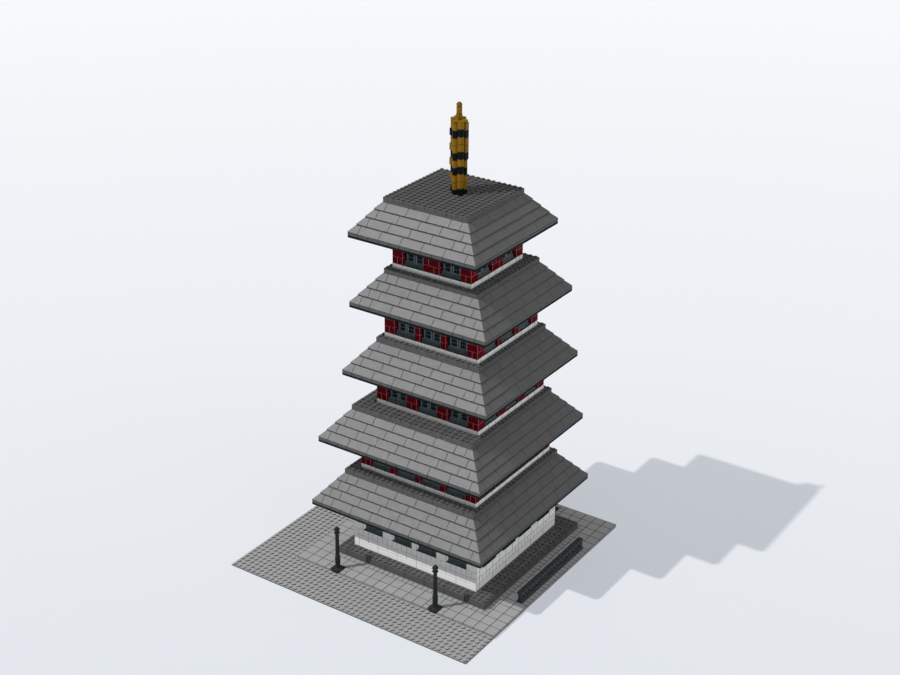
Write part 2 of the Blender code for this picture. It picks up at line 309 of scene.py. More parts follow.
def build_placed_tree():
    """One of five shapes on each point, chosen by its kind and turned about Z."""
    labels = [f"Shape {number}" for number in range(SHAPE_KINDS)]
    sockets = [(label, "NodeSocketObject", None) for label in labels]
    tree, given, points = start_tree("Placed shapes", *sockets)
    turn = add_step(tree, "ShaderNodeCombineXYZ", {"Z": read_attribute(tree, "turn", "FLOAT")})
    turn = add_step(tree, "FunctionNodeEulerToRotation", {"Euler": turn})
    join = add_node(tree, "GeometryNodeJoinGeometry")
    for number, label in enumerate(labels):
        chosen = has_number(tree, "kind", number)
        shape = shape_of(tree, given[label])
        inputs = {"Points": points, "Selection": chosen, "Instance": shape, "Rotation": turn}
        tree.links.new(add_step(tree, "GeometryNodeInstanceOnPoints", inputs), join.inputs["Geometry"])
    placed = add_step(tree, "GeometryNodeRealizeInstances", {"Geometry": join.outputs["Geometry"]})
    return close_tree(tree, given, placed, "turn", "kind")


TREES = {"Brickwork": build_brickwork_tree, "Placed shapes": build_placed_tree}


def grow(name, mesh, tree_name, values):
    """Plain mesh object that a geometry tree makes from a mesh of points."""
    tree = bpy.data.node_groups.get(tree_name) or TREES[tree_name]()
    item = add_object(name, mesh)
    modifier = item.modifiers.new("Grow", "NODES")
    modifier.node_group = tree
    keys = {s.name: s.identifier for s in tree.interface.items_tree if s.in_out == "INPUT"}
    for label, value in values.items():
        modifier[keys[label]] = value
    graph = bpy.context.evaluated_depsgraph_get()
    grown = bpy.data.meshes.new_from_object(
        item.evaluated_get(graph), preserve_all_data_layers=True, depsgraph=graph
    )
    item.modifiers.remove(modifier)
    item.data = grown
    bpy.data.meshes.remove(mesh)
    grown.name = name
    return item


# Objects and shapes


def add_object(name, data):
    """Object in the scene that takes the place of one from an earlier run."""
    earlier = bpy.data.objects.get(name)
    if earlier:
        bpy.data.objects.remove(earlier, do_unlink=True)
    item = bpy.data.objects.new(name, data)
    bpy.context.scene.collection.objects.link(item)
    return item


def add_shape(name, shape):
    """Mesh object made of a shape."""
    mesh = bpy.data.meshes.new(name)
    shape.to_mesh(mesh)
    shape.free()
    return add_object(name, mesh)


def drop_shapes(items):
    """Remove shapes that the trees no longer need."""
    for item in items:
        mesh = item.data
        bpy.data.objects.remove(item, do_unlink=True)
        bpy.data.meshes.remove(mesh)


def point_mesh(name, points, **attributes):
    """Mesh of loose vertices; each attribute is its type and one value for each vertex."""
    mesh = bpy.data.meshes.new(name)
    mesh.from_pydata([tuple(point) for point in points], [], [])
    for key, (data_type, values) in attributes.items():
        layer = mesh.attributes.new(key, data_type, "POINT")
        field = "vector" if data_type == "FLOAT_VECTOR" else "value"
        flat = [part for value in values for part in value] if field == "vector" else list(values)
        layer.data.foreach_set(field, flat)
    return mesh


def material_values(names):
    """Values of the material inputs of a tree."""
    return {label: plastic(name) for label, name in zip(MATERIAL_LABELS, names)}


def place_shapes(name, shapes, places, materials, seed, slots=None):
    """Piece made of shapes; each place is a position, the number of a shape and its turn."""
    positions, kinds, turns = zip(*places)
    attributes = {"kind": ("INT", kinds), "turn": ("FLOAT", turns)}
    if slots:
        attributes["slot"] = ("INT", slots)
    items = [add_shape(f"{name}_{number}", shape) for number, shape in enumerate(shapes)]
    values = {f"Shape {number}": item for number, item in enumerate(items)}
    values.update({"Seed": seed, **material_values(materials)})
    piece = grow(name, point_mesh(name, positions, **attributes), "Placed shapes", values)
    drop_shapes(items)
    return piece


def ride_root(item, slot, *nodes):
    """Hand a finished piece to the frame."""
    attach(item, "root")
    if nodes:
        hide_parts(*nodes)


def scaled(*values):
    """Millimetres as metres."""
    return tuple(value * MM for value in values)


def angles_of(count, first=0.5):
    """Equal steps of a full turn, from part of a step on."""
    return [FULL_TURN * (index + first) / count for index in range(count)]


def round_loop(height, radii, first=0.5):
    """Loop of points about the Z axis, one for each radius, from millimetres."""
    angles = angles_of(len(radii), first)
    return [scaled(r * math.cos(a), r * math.sin(a), height) for r, a in zip(radii, angles)]


def skin(loops):
    """Closed surface through loops of equal length."""
    shape = bmesh.new()
    rings = [[shape.verts.new(point) for point in loop] for loop in loops]
    count = len(rings[0])
    for lower, upper in zip(rings, rings[1:]):
        for index in range(count):
            following = (index + 1) % count
            shape.faces.new((lower[index], lower[following], upper[following], upper[index]))
    shape.faces.new(list(reversed(rings[0])))
    shape.faces.new(rings[-1])
    bmesh.ops.recalc_face_normals(shape, faces=shape.faces)
    return shape


def smooth_round(shape, limit):
    """Smooth the faces, with edges sharper than the limit kept crisp."""
    for face in shape.faces:
        face.smooth = True
    for edge in shape.edges:
        if edge.is_manifold and edge.calc_face_angle(0.0) > limit:
            edge.smooth = False
    return shape


def break_edges(shape, edges, width, mask=1.0):
    """Break edges of a shape that has an edge layer, and mark the broken faces."""
    cut = bmesh.ops.bevel(shape, geom=edges, offset=width, segments=1, affect="EDGES")
    layer = shape.faces.layers.float["edge"]
    for face in cut["faces"]:
        face[layer] = mask


def soft_box(shape, low, high, edge):
    """Add a box with broken edges to a shape that has an edge layer, and return its faces."""
    before = set(shape.faces)
    made = bmesh.ops.create_cube(shape, size=1.0)["verts"]
    for vertex in made:
        vertex.co = [low[axis] if vertex.co[axis] < 0 else high[axis] for axis in range(3)]
    break_edges(shape, list({edge_item for vertex in made for edge_item in vertex.link_edges}), edge)
    return [face for face in shape.faces if face not in before]


# Materials

MOTTLING = {"Scale": 90.0, "Detail": 3.0}
GLOSS_CLOUDS = {"Scale": 140.0, "Detail": 4.0}
SCRATCHES = {"Scale": 160.0, "Detail": 2.0}
SCRATCH_TURN = (0.4, 0.9, 0.7)
SCRATCH_STRETCH = (1, 14, 1)
SCRATCH_LIMIT = 0.62
BUMP_STRENGTH = 0.25
BUMP_DEPTH = 0.0001


def build_tone_group():
    """Shader group: plastic colour with its tone by brick, faint mottling, and the seam colour on marked
    faces: dark seams, painted shade on studs and slope lips, and a painted highlight where the seam colour is
    lighter than the plastic.
    """
    inputs = (
        ("Colour", "NodeSocketColor", (0.5, 0.5, 0.5, 1.0)),
        ("Spread", "NodeSocketFloat", 0.05),
        ("Mottling", "NodeSocketFloat", 0.03),
        ("Seam and painted light colour", "NodeSocketColor", (0.01, 0.01, 0.01, 1.0)),
        ("Seam and painted light strength", "NodeSocketFloat", 0.8),
    )
    tree = new_tree("Brick tone", "ShaderNodeTree", inputs, (("Colour", "NodeSocketColor", None),))
    given = add_node(tree, "NodeGroupInput").outputs
    tone = add_node(tree, "ShaderNodeAttribute", attribute_name="tone").outputs["Fac"]
    edge = add_node(tree, "ShaderNodeAttribute", attribute_name="edge").outputs["Fac"]
    place = add_node(tree, "ShaderNodeTexCoord").outputs["Object"]
    cloud = add_step(tree, "ShaderNodeTexNoise", {"Vector": place, **MOTTLING})
    light = 1.0
    for value, label in ((tone, "Spread"), (cloud, "Mottling")):
        centred = maths(tree, "SUBTRACT", value, 0.5)
        light = maths(tree, "MULTIPLY_ADD", centred, given[label], light)
    body = vector_maths(tree, "SCALE", given["Colour"], light)
    # Marked faces take the seam colour: dark joints, painted shade on studs and slope lips, and a painted
    # highlight on the broken edges of the black, fence, frame and red plastics
    seam_and_light = maths(tree, "MULTIPLY", edge, given["Seam and painted light strength"])
    inputs = {"Factor": seam_and_light, "A": body, "B": given["Seam and painted light colour"]}
    colour = add_step(tree, "ShaderNodeMix", inputs, data_type="RGBA")
    add_node(tree, "NodeGroupOutput", {"Colour": colour})
    arrange(tree)
    return tree


def build_surface_group():
    """Shader group: moulded plastic surface with its gloss, fine grain and hairline scratches."""
    inputs = (
        ("Roughness", "NodeSocketFloat", 0.35),
        ("Gloss variation", "NodeSocketFloat", 0.12),
        ("Grain size", "NodeSocketFloat", 0.0004),
        ("Grain depth", "NodeSocketFloat", 0.2),
        ("Scratch depth", "NodeSocketFloat", 0.1),
    )
    outputs = (("Roughness", "NodeSocketFloat", None), ("Height", "NodeSocketFloat", None))
    tree = new_tree("Moulded surface", "ShaderNodeTree", inputs, outputs)
    given = add_node(tree, "NodeGroupInput").outputs
    place = add_node(tree, "ShaderNodeTexCoord").outputs["Object"]
    broad = add_step(tree, "ShaderNodeTexNoise", {"Vector": place, **GLOSS_CLOUDS})
    broad = maths(tree, "SUBTRACT", broad, 0.5)
    roughness = maths(tree, "MULTIPLY_ADD", broad, given["Gloss variation"], given["Roughness"])
    frequency = maths(tree, "DIVIDE", 1.0, given["Grain size"])
    grain = add_step(tree, "ShaderNodeTexNoise", {"Vector": place, "Scale": frequency, "Detail": 1.0})
    inputs = {"Vector": place, "Rotation": SCRATCH_TURN, "Scale": SCRATCH_STRETCH}
    along = add_step(tree, "ShaderNodeMapping", inputs)
    hair = add_step(tree, "ShaderNodeTexNoise", {"Vector": along, **SCRATCHES})
    hair = maths(tree, "GREATER_THAN", hair, SCRATCH_LIMIT)
    scratch = maths(tree, "MULTIPLY", hair, given["Scratch depth"])
    height = maths(tree, "MULTIPLY", grain, given["Grain depth"])
    height = maths(tree, "SUBTRACT", height, scratch)
    add_node(tree, "NodeGroupOutput", {"Roughness": roughness, "Height": height})
    arrange(tree)
    return tree


SHADER_GROUPS = {"Brick tone": build_tone_group, "Moulded surface": build_surface_group}

# Plastic: roughness, gloss, spread of tone, grain depth, strength and colour of its seams. The dark seam
# colour is also painted shade on studs and slope lips; on the black, fence, frame and red plastics the seam
# colour is lighter than the plastic and paints a highlight on the broken edges, rings and pale window parts.
DARK_SEAM_AND_SHADE = (0.006, 0.006, 0.006)
PLASTICS = {
    "paving": (0.45, 0.15, 0.05, 0.10, 1.00, DARK_SEAM_AND_SHADE),
    "slope": (0.60, 0.93, 0.06, 0.45, 0.95, DARK_SEAM_AND_SHADE),
    "dark_grey": (0.45, 0.15, 0.07, 0.12, 0.64, DARK_SEAM_AND_SHADE),
    "black": (0.42, 0.04, 0.10, 0.12, 0.35, (0.025, 0.033, 0.037)),
    "post": (0.38, 0.12, 0.10, 0.12, 0.60, (0.09, 0.10, 0.11)),
    "fence": (0.42, 0.10, 0.10, 0.12, 0.60, (0.10, 0.12, 0.13)),
    "frame": (0.40, 0.12, 0.08, 0.10, 0.90, (0.20, 0.26, 0.26)),
    "pane": (0.35, 0.05, 0.05, 0.05, 0.50, DARK_SEAM_AND_SHADE),
    "white": (0.40, 0.15, 0.03, 0.08, 0.95, (0.02, 0.02, 0.02)),
    "red": (0.45, 0.02, 0.08, 0.10, 0.90, (0.42, 0.23, 0.24)),
    "gold": (0.40, 0.05, 0.14, 0.12, 0.95, (0.02, 0.010, 0.001)),
}


def group_node(tree, name, values):
    """Outputs of a shader group, built once, with its own values."""
    node = tree.nodes.new("ShaderNodeGroup")
    node.node_tree = bpy.data.node_groups.get(name) or SHADER_GROUPS[name]()
    for key, value in values.items():
        node.inputs[key].default_value = value
    return node.outputs


def plastic(name):
    """Material of one plastic, built once."""
    material = bpy.data.materials.get(f"plastic_{name}")
    if material:
        return material
    roughness, gloss, spread, grain, seam_and_light, seam_and_light_colour = PLASTICS[name]
    colour = getattr(bpy.context.scene.pagoda_colours, name)
    material = bpy.data.materials.new(f"plastic_{name}")
    material.use_nodes = True
    tree = material.node_tree
    shader = tree.nodes["Principled BSDF"].inputs
    values = {"Colour": (*colour, 1.0), "Spread": spread}
    values.update({"Seam and painted light colour": (*seam_and_light_colour, 1.0), "Seam and painted light strength": seam_and_light})
    tone = group_node(tree, "Brick tone", values)
    surface = group_node(tree, "Moulded surface", {"Roughness": roughness, "Grain depth": grain})
    inputs = {"Height": surface["Height"], "Strength": BUMP_STRENGTH, "Distance": BUMP_DEPTH}
    tree.links.new(tone["Colour"], shader["Base Color"])
    tree.links.new(surface["Roughness"], shader["Roughness"])
    tree.links.new(add_step(tree, "ShaderNodeBump", inputs), shader["Normal"])
    shader["Specular IOR Level"].default_value = gloss
    arrange(tree)
    return material


# Places on the stud grid

BRICK_WIDTH = 2


def line(stud):
    """World coordinate of a stud line."""
    return BASE_LOW.x + stud * STUD_PITCH


def stud_range(node):
    """Lowest and highest stud line of a CAD node along X."""
    low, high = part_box(node)
    return tuple(round((edge - BASE_LOW.x) / STUD_PITCH) for edge in (low.x, high.x))


def z_range_of(node):
    """Underside and top of a CAD node."""
    low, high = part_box(node)
    return low.z, high.z


def top_of(node):
    """Height of a CAD node's top."""
    return z_range_of(node)[1]


def face_point(low, high, face, along, inward=0.0):
    """World X and Y of a place on a face of the square between two stud lines."""
    span = high - low
    across = ((along, inward), (span - inward, along), (span - along, span - inward), (inward, span - along))
    x, y = across[face]
    return line(low + x), line(low + y)


def face_box(low, high, face, start, end, z_range, slot=0):
    """Brick one stud deep on a face, as corner, far corner and slot."""
    x0, y0 = face_point(low, high, face, start, 0.0)
    x1, y1 = face_point(low, high, face, end, 1.0)
    near = (min(x0, x1), min(y0, y1), z_range[0])
    far = (max(x0, x1), max(y0, y1), z_range[1])
    return near, far, slot


def plan_box(x0, x1, y0, y1, z_range, slot=0):
    """Brick between stud lines, as corner, far corner and slot."""
    return (line(x0), line(y0), z_range[0]), (line(x1), line(y1), z_range[1]), slot


def cut_run(start, end, length):
    """Split a run into pieces of one length; the last one takes what is left."""
    marks = list(range(start, end, length)) + [end]
    return list(zip(marks, marks[1:]))


def bond(low, high, z_range, length, along_x=True, slot=0, shifted=1):
    """Square filled with rows of bricks; rows of the shifted parity start with half a brick."""
    boxes = []
    for row, (side, far_side) in enumerate(cut_run(low, high, BRICK_WIDTH)):
        first = low + length // 2 if row % 2 == shifted else low
        runs = ([(low, first)] if first > low else []) + cut_run(first, high, length)
        for start, end in runs:
            plan = (start, end, side, far_side) if along_x else (side, far_side, start, end)
            boxes.append(plan_box(*plan, z_range, slot))
    return boxes


# Bricks and studs. A mask says how far a face takes the seam colour, from 0 to 1; on the studs that colour is
# painted shade

CORNER_REACH = 10.0
LOW_NORMAL = -0.3
LOW_EDGE_MASK = 0.35

# Millimetres that a stud reaches into its plate, and its masks of painted shade from the root up: darkest on
# the root ring, then the side, then the rounded top edge
STUD_SINK = 0.02
STUD_SHADE_MASKS = (1.0, 0.62, 0.25)


def corner_shape():
    """Corners, broken edges and faces of a brick with no size yet, for the brickwork tree."""
    shape = bmesh.new()
    corner_layer = shape.verts.layers.float_vector.new("corner")
    shape.faces.layers.float.new("edge")
    bmesh.ops.create_cube(shape, size=2.0 * CORNER_REACH)
    break_edges(shape, shape.edges[:], 1.0)
    marks = shape.faces.layers.float["edge"]
    shape.normal_update()
    for face in shape.faces:
        if face[marks] and face.normal.z < LOW_NORMAL:
            face[marks] = LOW_EDGE_MASK
    for vertex in shape.verts:
        corner = Vector([math.copysign(1.0, part) for part in vertex.co])
        vertex[corner_layer] = corner
        vertex.co -= corner * CORNER_REACH
    return shape


def brickwork(name, boxes, materials, seed, edge_scale=1.0):
    """Piece made of bricks, each as corner, far corner and slot."""
    sizes = bpy.context.scene.pagoda_bricks
    centres = [(Vector(near) + Vector(far)) / 2 for near, far, _ in boxes]
    extents = [Vector(far) - Vector(near) for near, far, _ in boxes]
    slots = [slot for _, _, slot in boxes]
    points = point_mesh(name, centres, size=("FLOAT_VECTOR", extents), slot=("INT", slots))
    corner = add_shape("brick_corner", corner_shape())
    values = {"Corner shape": corner, "Joint": sizes.joint, "Edge": sizes.edge * edge_scale, "Seed": seed}
    item = grow(name, points, "Brickwork", {**values, **material_values(materials)})
    drop_shapes([corner])
    return item


def stud_shape():
    """Round stud with a rounded top edge, and painted shade that is darkest at its root and lighter up its
    side.
    """
    sizes = bpy.context.scene.pagoda_bricks
    sides = sizes.stud_sides
    radius = sizes.stud_radius / MM
    edge = sizes.stud_edge / MM
    top = sizes.stud_height / MM + STUD_SINK
    profile = ((0.0, radius), (edge, radius), (top - edge, radius), (top, radius - edge))
    shape = skin([round_loop(height, [size] * sides, 0.0) for height, size in profile])
    layer = shape.faces.layers.float.new("edge")
    # Painted shade on the stud: root ring, side and rounded top edge
    shade_masks = [mask for mask in STUD_SHADE_MASKS for _ in range(sides)] + [0.0, 0.0]
    for face, mask in zip(shape.faces, shade_masks):
        face[layer] = mask
        face.smooth = mask > 0.0
    return shape


def stud_field(name, low, high, top, material, seed, covered=(0, 0), taken=()):
    """Piece made of the studs of a square, less those under the walls above and the taken ones."""
    hidden = range(*covered)
    places = []
    for x in range(low, high):
        for y in range(low, high):
            if not (x in hidden and y in hidden) and (x, y) not in taken:
                places.append(((line(x + 0.5), line(y + 0.5), top - STUD_SINK * MM), 0, 0.0))
    return place_shapes(name, [stud_shape()], places, (material,), seed)


# Ground

LAMPS = {
    "lamp_front_left": (16, 9),
    "lamp_front_right": (36, 9),
    "lamp_back_left": (16, 46),
    "lamp_back_right": (36, 46),
}
FENCE_UNITS = 5
FENCE_STUDS = 4
TILE = 2
PLINTH_BRICK = 4
SLAB_EDGE = 1.8

# Upward parts of the normals of a slab's sides
SLAB_SIDES = (-0.9, 0.5)


def shade_sides(item):
    """Darken the sides of a slab in the way that seams are."""
    marks = item.data.attributes["edge"].data
    lowest, highest = SLAB_SIDES
    for polygon in item.data.polygons:
        if lowest < polygon.normal.z < highest:
            marks[polygon.index].value = 1.0


def taken_studs():
    """Studs of the paving where the plinth, the lamps and the fence stand."""
    low, high = stud_range("plinth")
    taken = {(x, y) for x in range(low, high) for y in range(low, high)}
    for x, y in LAMPS.values():
        taken |= {(x - 1 + i, y - 1 + j) for i in range(2) for j in range(2)}
    fence_low, fence_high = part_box("fence")
    fence_x = math.floor((fence_low.x + fence_high.x) / 2 / STUD_PITCH + BASE_STUDS / 2)
    first = round((fence_low.y - BASE_LOW.y) / STUD_PITCH)
    return taken | {(fence_x, first + step) for step in range(FENCE_UNITS * FENCE_STUDS)}


def paving_boxes():
    """Two-stud tiles on the even grid, and one-stud tiles where something stands in the way."""
    low, high = stud_range("paving")
    taken = taken_studs()
    z_range = (top_of("baseplate"), top_of("paving"))
    boxes = []
    for x in range(low, high, TILE):
        for y in range(low, high, TILE):
            studs = [(x + i, y + j) for i in range(TILE) for j in range(TILE)]
            free = [stud for stud in studs if stud not in taken]
            if free == studs:
                boxes.append(plan_box(x, x + TILE, y, y + TILE, z_range))
            else:
                boxes += [plan_box(cx, cx + 1, cy, cy + 1, z_range) for cx, cy in free]
    return boxes


class PAGODA_OT_ground(Operator):
    """Build the studded baseplate, the paving tiles and the plinth"""

    bl_idname = "pagoda.ground"
    bl_label = "Baseplate, paving and plinth"

    def execute(self, context):
        boxes = [plan_box(0, BASE_STUDS, 0, BASE_STUDS, z_range_of("baseplate"))]
        slab = brickwork("baseplate_slab", boxes, ("paving",), SLAB_SEED, SLAB_EDGE)
        shade_sides(slab)
        ride_root(slab, "light_grey", "baseplate")
        paved = stud_range("paving")
        top = top_of("baseplate")
        studs = stud_field("baseplate_studs", 0, BASE_STUDS, top, "paving", SLAB_SEED, paved)
        ride_root(studs, "light_grey")
        tiles = brickwork("paving_tiles", paving_boxes(), ("paving",), TILE_SEED)
        ride_root(tiles, "light_grey", "paving")

        low, high = stud_range("plinth")
        z_range = (top_of("paving"), top_of("plinth"))
        boxes = bond(low, high, z_range, PLINTH_BRICK, shifted=0)
        bricks = brickwork("plinth_bricks", boxes, ("dark_grey",), PLINTH_SEED)
        ride_root(bricks, "dark_grey", "plinth")
        walls = stud_range("storey1_wall_front")
        studs = stud_field("plinth_studs", low, high, z_range[1], "dark_grey", PLINTH_STUD_SEED, walls)
        ride_root(studs, "dark_grey")
        return {"FINISHED"}


# Lamps

LAMP_SEGMENTS = 32
LAMP_FINS = 8
LAMP_CREASE = 0.6

# Millimetres: height, half width and cut corner of the square foot
LAMP_FOOT = ((0.3, 7.85, 2.9), (3.1, 7.85, 2.9), (3.6, 7.5, 2.8), (3.75, 6.9, 3.2))

# Millimetres: height and radius of the turned post, and depth of the hollows between its fins
LAMP_PROFILE = (
    (4.1, 4.6), (4.8, 3.6), (6.2, 3.1), (8.4, 2.9), (8.6, 3.6), (9.6, 3.6), (9.9, 3.0),
    (10.8, 2.9), (11.4, 3.5), (12.0, 3.7), (22.0, 3.7), (22.6, 3.4), (23.2, 2.8), (24.0, 2.8),
    (24.3, 3.2), (25.2, 3.2), (25.5, 2.8), (59.5, 2.5), (59.7, 4.1), (60.3, 4.1), (60.5, 2.4),
    (64.5, 2.4), (64.7, 4.1), (65.3, 4.1), (65.5, 2.9), (67.0, 2.9), (68.2, 2.3), (68.9, 1.4),
)
LAMP_HOLLOWS = {11.4: 0.7, 12.0: 0.9, 22.0: 0.9, 22.6: 0.7}


def square_radius(half, chamfer, angle):
    """Distance from the centre to the edge of a square with cut corners."""
    c = abs(math.cos(angle))
    s = abs(math.sin(angle))
    return min(half / max(c, s), (2 * half - chamfer) / (c + s))


def lamp_shape():
    """Turned post from its square foot to its stud, about its own axis."""
    angles = angles_of(LAMP_SEGMENTS)
    loops = []
    for height, half, chamfer in LAMP_FOOT:
        loops.append(round_loop(height, [square_radius(half, chamfer, angle) for angle in angles]))
    for height, radius in LAMP_PROFILE:
        hollow = LAMP_HOLLOWS.get(height, 0.0)
        fins = [radius - hollow * (0.5 - 0.5 * math.cos(LAMP_FINS * angle)) for angle in angles]
        loops.append(round_loop(height, fins))
    return smooth_round(skin(loops), LAMP_CREASE)


class PAGODA_OT_lamps(Operator):
    """Build the four turned lamp posts on their square feet"""

    bl_idname = "pagoda.lamps"
    bl_label = "Lamp posts"

    def execute(self, context):
        for name, (x, y) in LAMPS.items():
            shape = lamp_shape()
            bmesh.ops.translate(shape, verts=shape.verts, vec=(line(x), line(y), top_of("baseplate")))
            post = add_shape(f"{name}_post", shape)
            post.data.materials.append(plastic("post"))
            ride_root(post, "black", name)
        return {"FINISHED"}


# Fence

FENCE_HOLE_SIDES = 20
FENCE_RAIL_BLOCKS = 4
RING_SIDES = 20
RING_SECTION = 6
# Mask of the rings: a painted highlight in the fence's pale seam colour
RING_HIGHLIGHT = 0.8
WALL_NORMAL = 0.3
# Slot of the pane plastic, painted shade on the hole walls and the rail's core
PAINTED_SHADE_PART = 1

# Millimetres: holes as centre along, height, half width and half height, on both halves and between
FENCE_HOLES = (
    (8.0, 9.0, 2.3, 2.0),
    (3.0, 8.2, 1.0, 1.1),
    (13.0, 8.2, 1.0, 1.1),
    (4.2, 12.4, 1.2, 1.7),
    (11.8, 12.4, 1.2, 1.7),
    (8.0, 13.9, 1.0, 0.8),
)
FENCE_MIDDLE_HOLES = ((16.0, 8.6, 0.9, 1.3), (16.0, 12.8, 1.1, 1.8))

# Millimetres
FENCE_PANEL_Z = (6.0, 16.4)
FENCE_PANEL_HALF = 1.5
FENCE_PANEL_END = 0.2
FENCE_PANEL_RIM = 0.5
FENCE_BEVEL = 0.25
FENCE_RAIL_GAP = 1.2
FENCE_MERGE = 0.01
RING_HEIGHT = 9.0
RING_RADIUS = 2.9
RING_THICKNESS = 0.45
RING_STANDOFF = 0.3


def add_outline(curve, points):
    """Closed flat outline of a curve, in metres."""
    spline = curve.splines.new("POLY")
    spline.points.add(len(points) - 1)
    for point, (x, y) in zip(spline.points, points):
        point.co = (x * MM, y * MM, 0.0, 1.0)
    spline.use_cyclic_u = True


def panel_mesh(length):
    """Mesh of the pierced panel of one fence unit, lying flat."""
    curve = bpy.data.curves.new("fence_panel", "CURVE")
    curve.dimensions = "2D"
    curve.fill_mode = "BOTH"
    curve.extrude = FENCE_PANEL_HALF * MM
    curve.bevel_depth = FENCE_BEVEL * MM
    low, high = FENCE_PANEL_Z
    start = FENCE_PANEL_END
    end = length - FENCE_PANEL_END
    add_outline(curve, ((start, low), (end, low), (end, high), (start, high)))
    mirrored = [(length - along, *rest) for along, *rest in FENCE_HOLES]
    for centre, height, half_width, half_height in (*FENCE_HOLES, *mirrored, *FENCE_MIDDLE_HOLES):
        hole = []
        for angle in angles_of(FENCE_HOLE_SIDES, 0.0):
            hole.append((centre + half_width * math.cos(angle), height + half_height * math.sin(angle)))
        add_outline(curve, hole)
    item = add_object("fence_panel", curve)
    graph = bpy.context.evaluated_depsgraph_get()
    mesh = bpy.data.meshes.new_from_object(item.evaluated_get(graph), depsgraph=graph)
    bpy.data.objects.remove(item, do_unlink=True)
    return mesh


def inside_panel(point, length):
    """True for a place within the outline of a fence panel."""
    low, high = FENCE_PANEL_Z
    along = point.y / MM
    height = point.z / MM
    rim = FENCE_PANEL_RIM
    return rim < along < length - rim and low + rim < height < high - rim


def fence_panel(length):
    """Pierced panel of one fence unit, upright along Y; the walls of its holes are painted shade in the pane
    plastic.
    """
    mesh = panel_mesh(length)
    upright = Matrix(((0, 0, 1, 0), (1, 0, 0, 0), (0, 1, 0, 0), (0, 0, 0, 1)))
    mesh.transform(upright)
    shape = bmesh.new()
    shape.from_mesh(mesh)
    bpy.data.meshes.remove(mesh)
    bmesh.ops.remove_doubles(shape, verts=shape.verts, dist=FENCE_MERGE * MM)
    bmesh.ops.recalc_face_normals(shape, faces=shape.faces)
    shape.faces.layers.float.new("edge")
    slots = shape.faces.layers.int.new("slot")
    # Hole walls take the pane plastic as painted shade
    for face in shape.faces:
        across = abs(face.normal.x) < WALL_NORMAL
        if across and inside_panel(face.calc_center_median(), length):
            face[slots] = PAINTED_SHADE_PART
    return shape


def fence_boxes(length, height):
    """Boxes in millimetres: half width, start, end, underside, top, broken edge and slot."""
    boxes = [
        (3.85, 0.1, length - 0.1, 0.3, 6.35, 0.3, 0),
        # Rail core in the pane plastic: painted shade in the gaps between the rail blocks
        (3.4, 0.15, length - 0.15, 16.05, height - 0.4, 0.2, PAINTED_SHADE_PART),
        (2.2, 0.15, 1.5, 6.0, 16.2, 0.2, 0),
        (2.2, length - 1.5, length - 0.15, 6.0, 16.2, 0.2, 0),
    ]
    step = (length - 0.2) / FENCE_RAIL_BLOCKS
    for block in range(FENCE_RAIL_BLOCKS):
        start = 0.1 + block * step
        boxes.append((3.85, start, start + step - FENCE_RAIL_GAP, 16.0, height, 0.25, 0))
    return boxes


def fence_unit(length, height):
    """Foot, pierced panel, rings and notched rail of one fence unit along Y, from millimetres."""
    shape = fence_panel(length)
    slots = shape.faces.layers.int["slot"]
    for half, start, end, bottom, top, edge, slot in fence_boxes(length, height):
        for face in soft_box(shape, scaled(-half, start, bottom), scaled(half, end, top), edge * MM):
            face[slots] = slot
    for along in (length * 0.25, length * 0.75):
        for side in (-1, 1):
            add_ring(shape, along, side)
    return shape


def add_ring(shape, along, side):
    """Raised ring round a hole, on one side of the panel."""
    place = Matrix.Translation(scaled(side * (FENCE_PANEL_HALF + RING_STANDOFF), along, RING_HEIGHT))
    place = place @ Matrix.Rotation(QUARTER_TURN, 4, "Y")
    rings = []
    for a in angles_of(RING_SIDES, 0.0):
        loop = []
        for b in angles_of(RING_SECTION, 0.0):
            r = RING_RADIUS + RING_THICKNESS * math.cos(b)
            point = Vector(scaled(r * math.cos(a), r * math.sin(a), RING_THICKNESS * math.sin(b)))
            loop.append(shape.verts.new(place @ point))
        rings.append(loop)
    made = []
    for here, after in zip(rings, rings[1:] + rings[:1]):
        for step in range(RING_SECTION):
            up = (step + 1) % RING_SECTION
            made.append(shape.faces.new((here[step], after[step], after[up], here[up])))
    bmesh.ops.recalc_face_normals(shape, faces=made)
    # The rings take a painted highlight
    layer = shape.faces.layers.float["edge"]
    for face in made:
        face[layer] = RING_HIGHLIGHT


class PAGODA_OT_fence(Operator):
    """Build the ornamental fence of five units"""

    bl_idname = "pagoda.fence"
    bl_label = "Fence"

    def execute(self, context):
        low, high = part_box("fence")
        base = top_of("baseplate")
        step = FENCE_STUDS * STUD_PITCH
        middle = (low.x + high.x) / 2
        first = (low.y + high.y) / 2 - FENCE_UNITS * step / 2
        places = [((middle, first + number * step, base), 0, 0.0) for number in range(FENCE_UNITS)]
        unit = fence_unit(step / MM, (high.z - base) / MM)
        # The pane plastic paints shade in the holes and between the rail blocks
        fence = place_shapes("fence_openwork", [unit], places, ("fence", "pane"), FENCE_SEED)
        ride_root(fence, "black", "fence")
        return {"FINISHED"}


# Walls

# Widths in studs of the piers between the four-stud window bays, along every wall of a storey
PIERS = ((2, 2, 1, 2, 2), (2, 1, 1, 1, 2), (2, 2, 2, 2), (2, 1, 1, 2), (2, 3, 2))
BAY = 4
GROUND_COURSES = ((4, 4), (2, 1), (1, 2))
PIER_COURSES = 4
WALL_EDGE = 0.65
WINDOW_PLAY = 0.3 * MM


def pier_runs(storey):
    """Start and end of each pier along a wall."""
    runs = []
    start = 0
    for width in PIERS[storey - 1]:
        runs.append((start, start + width))
        start += width + BAY
    return runs


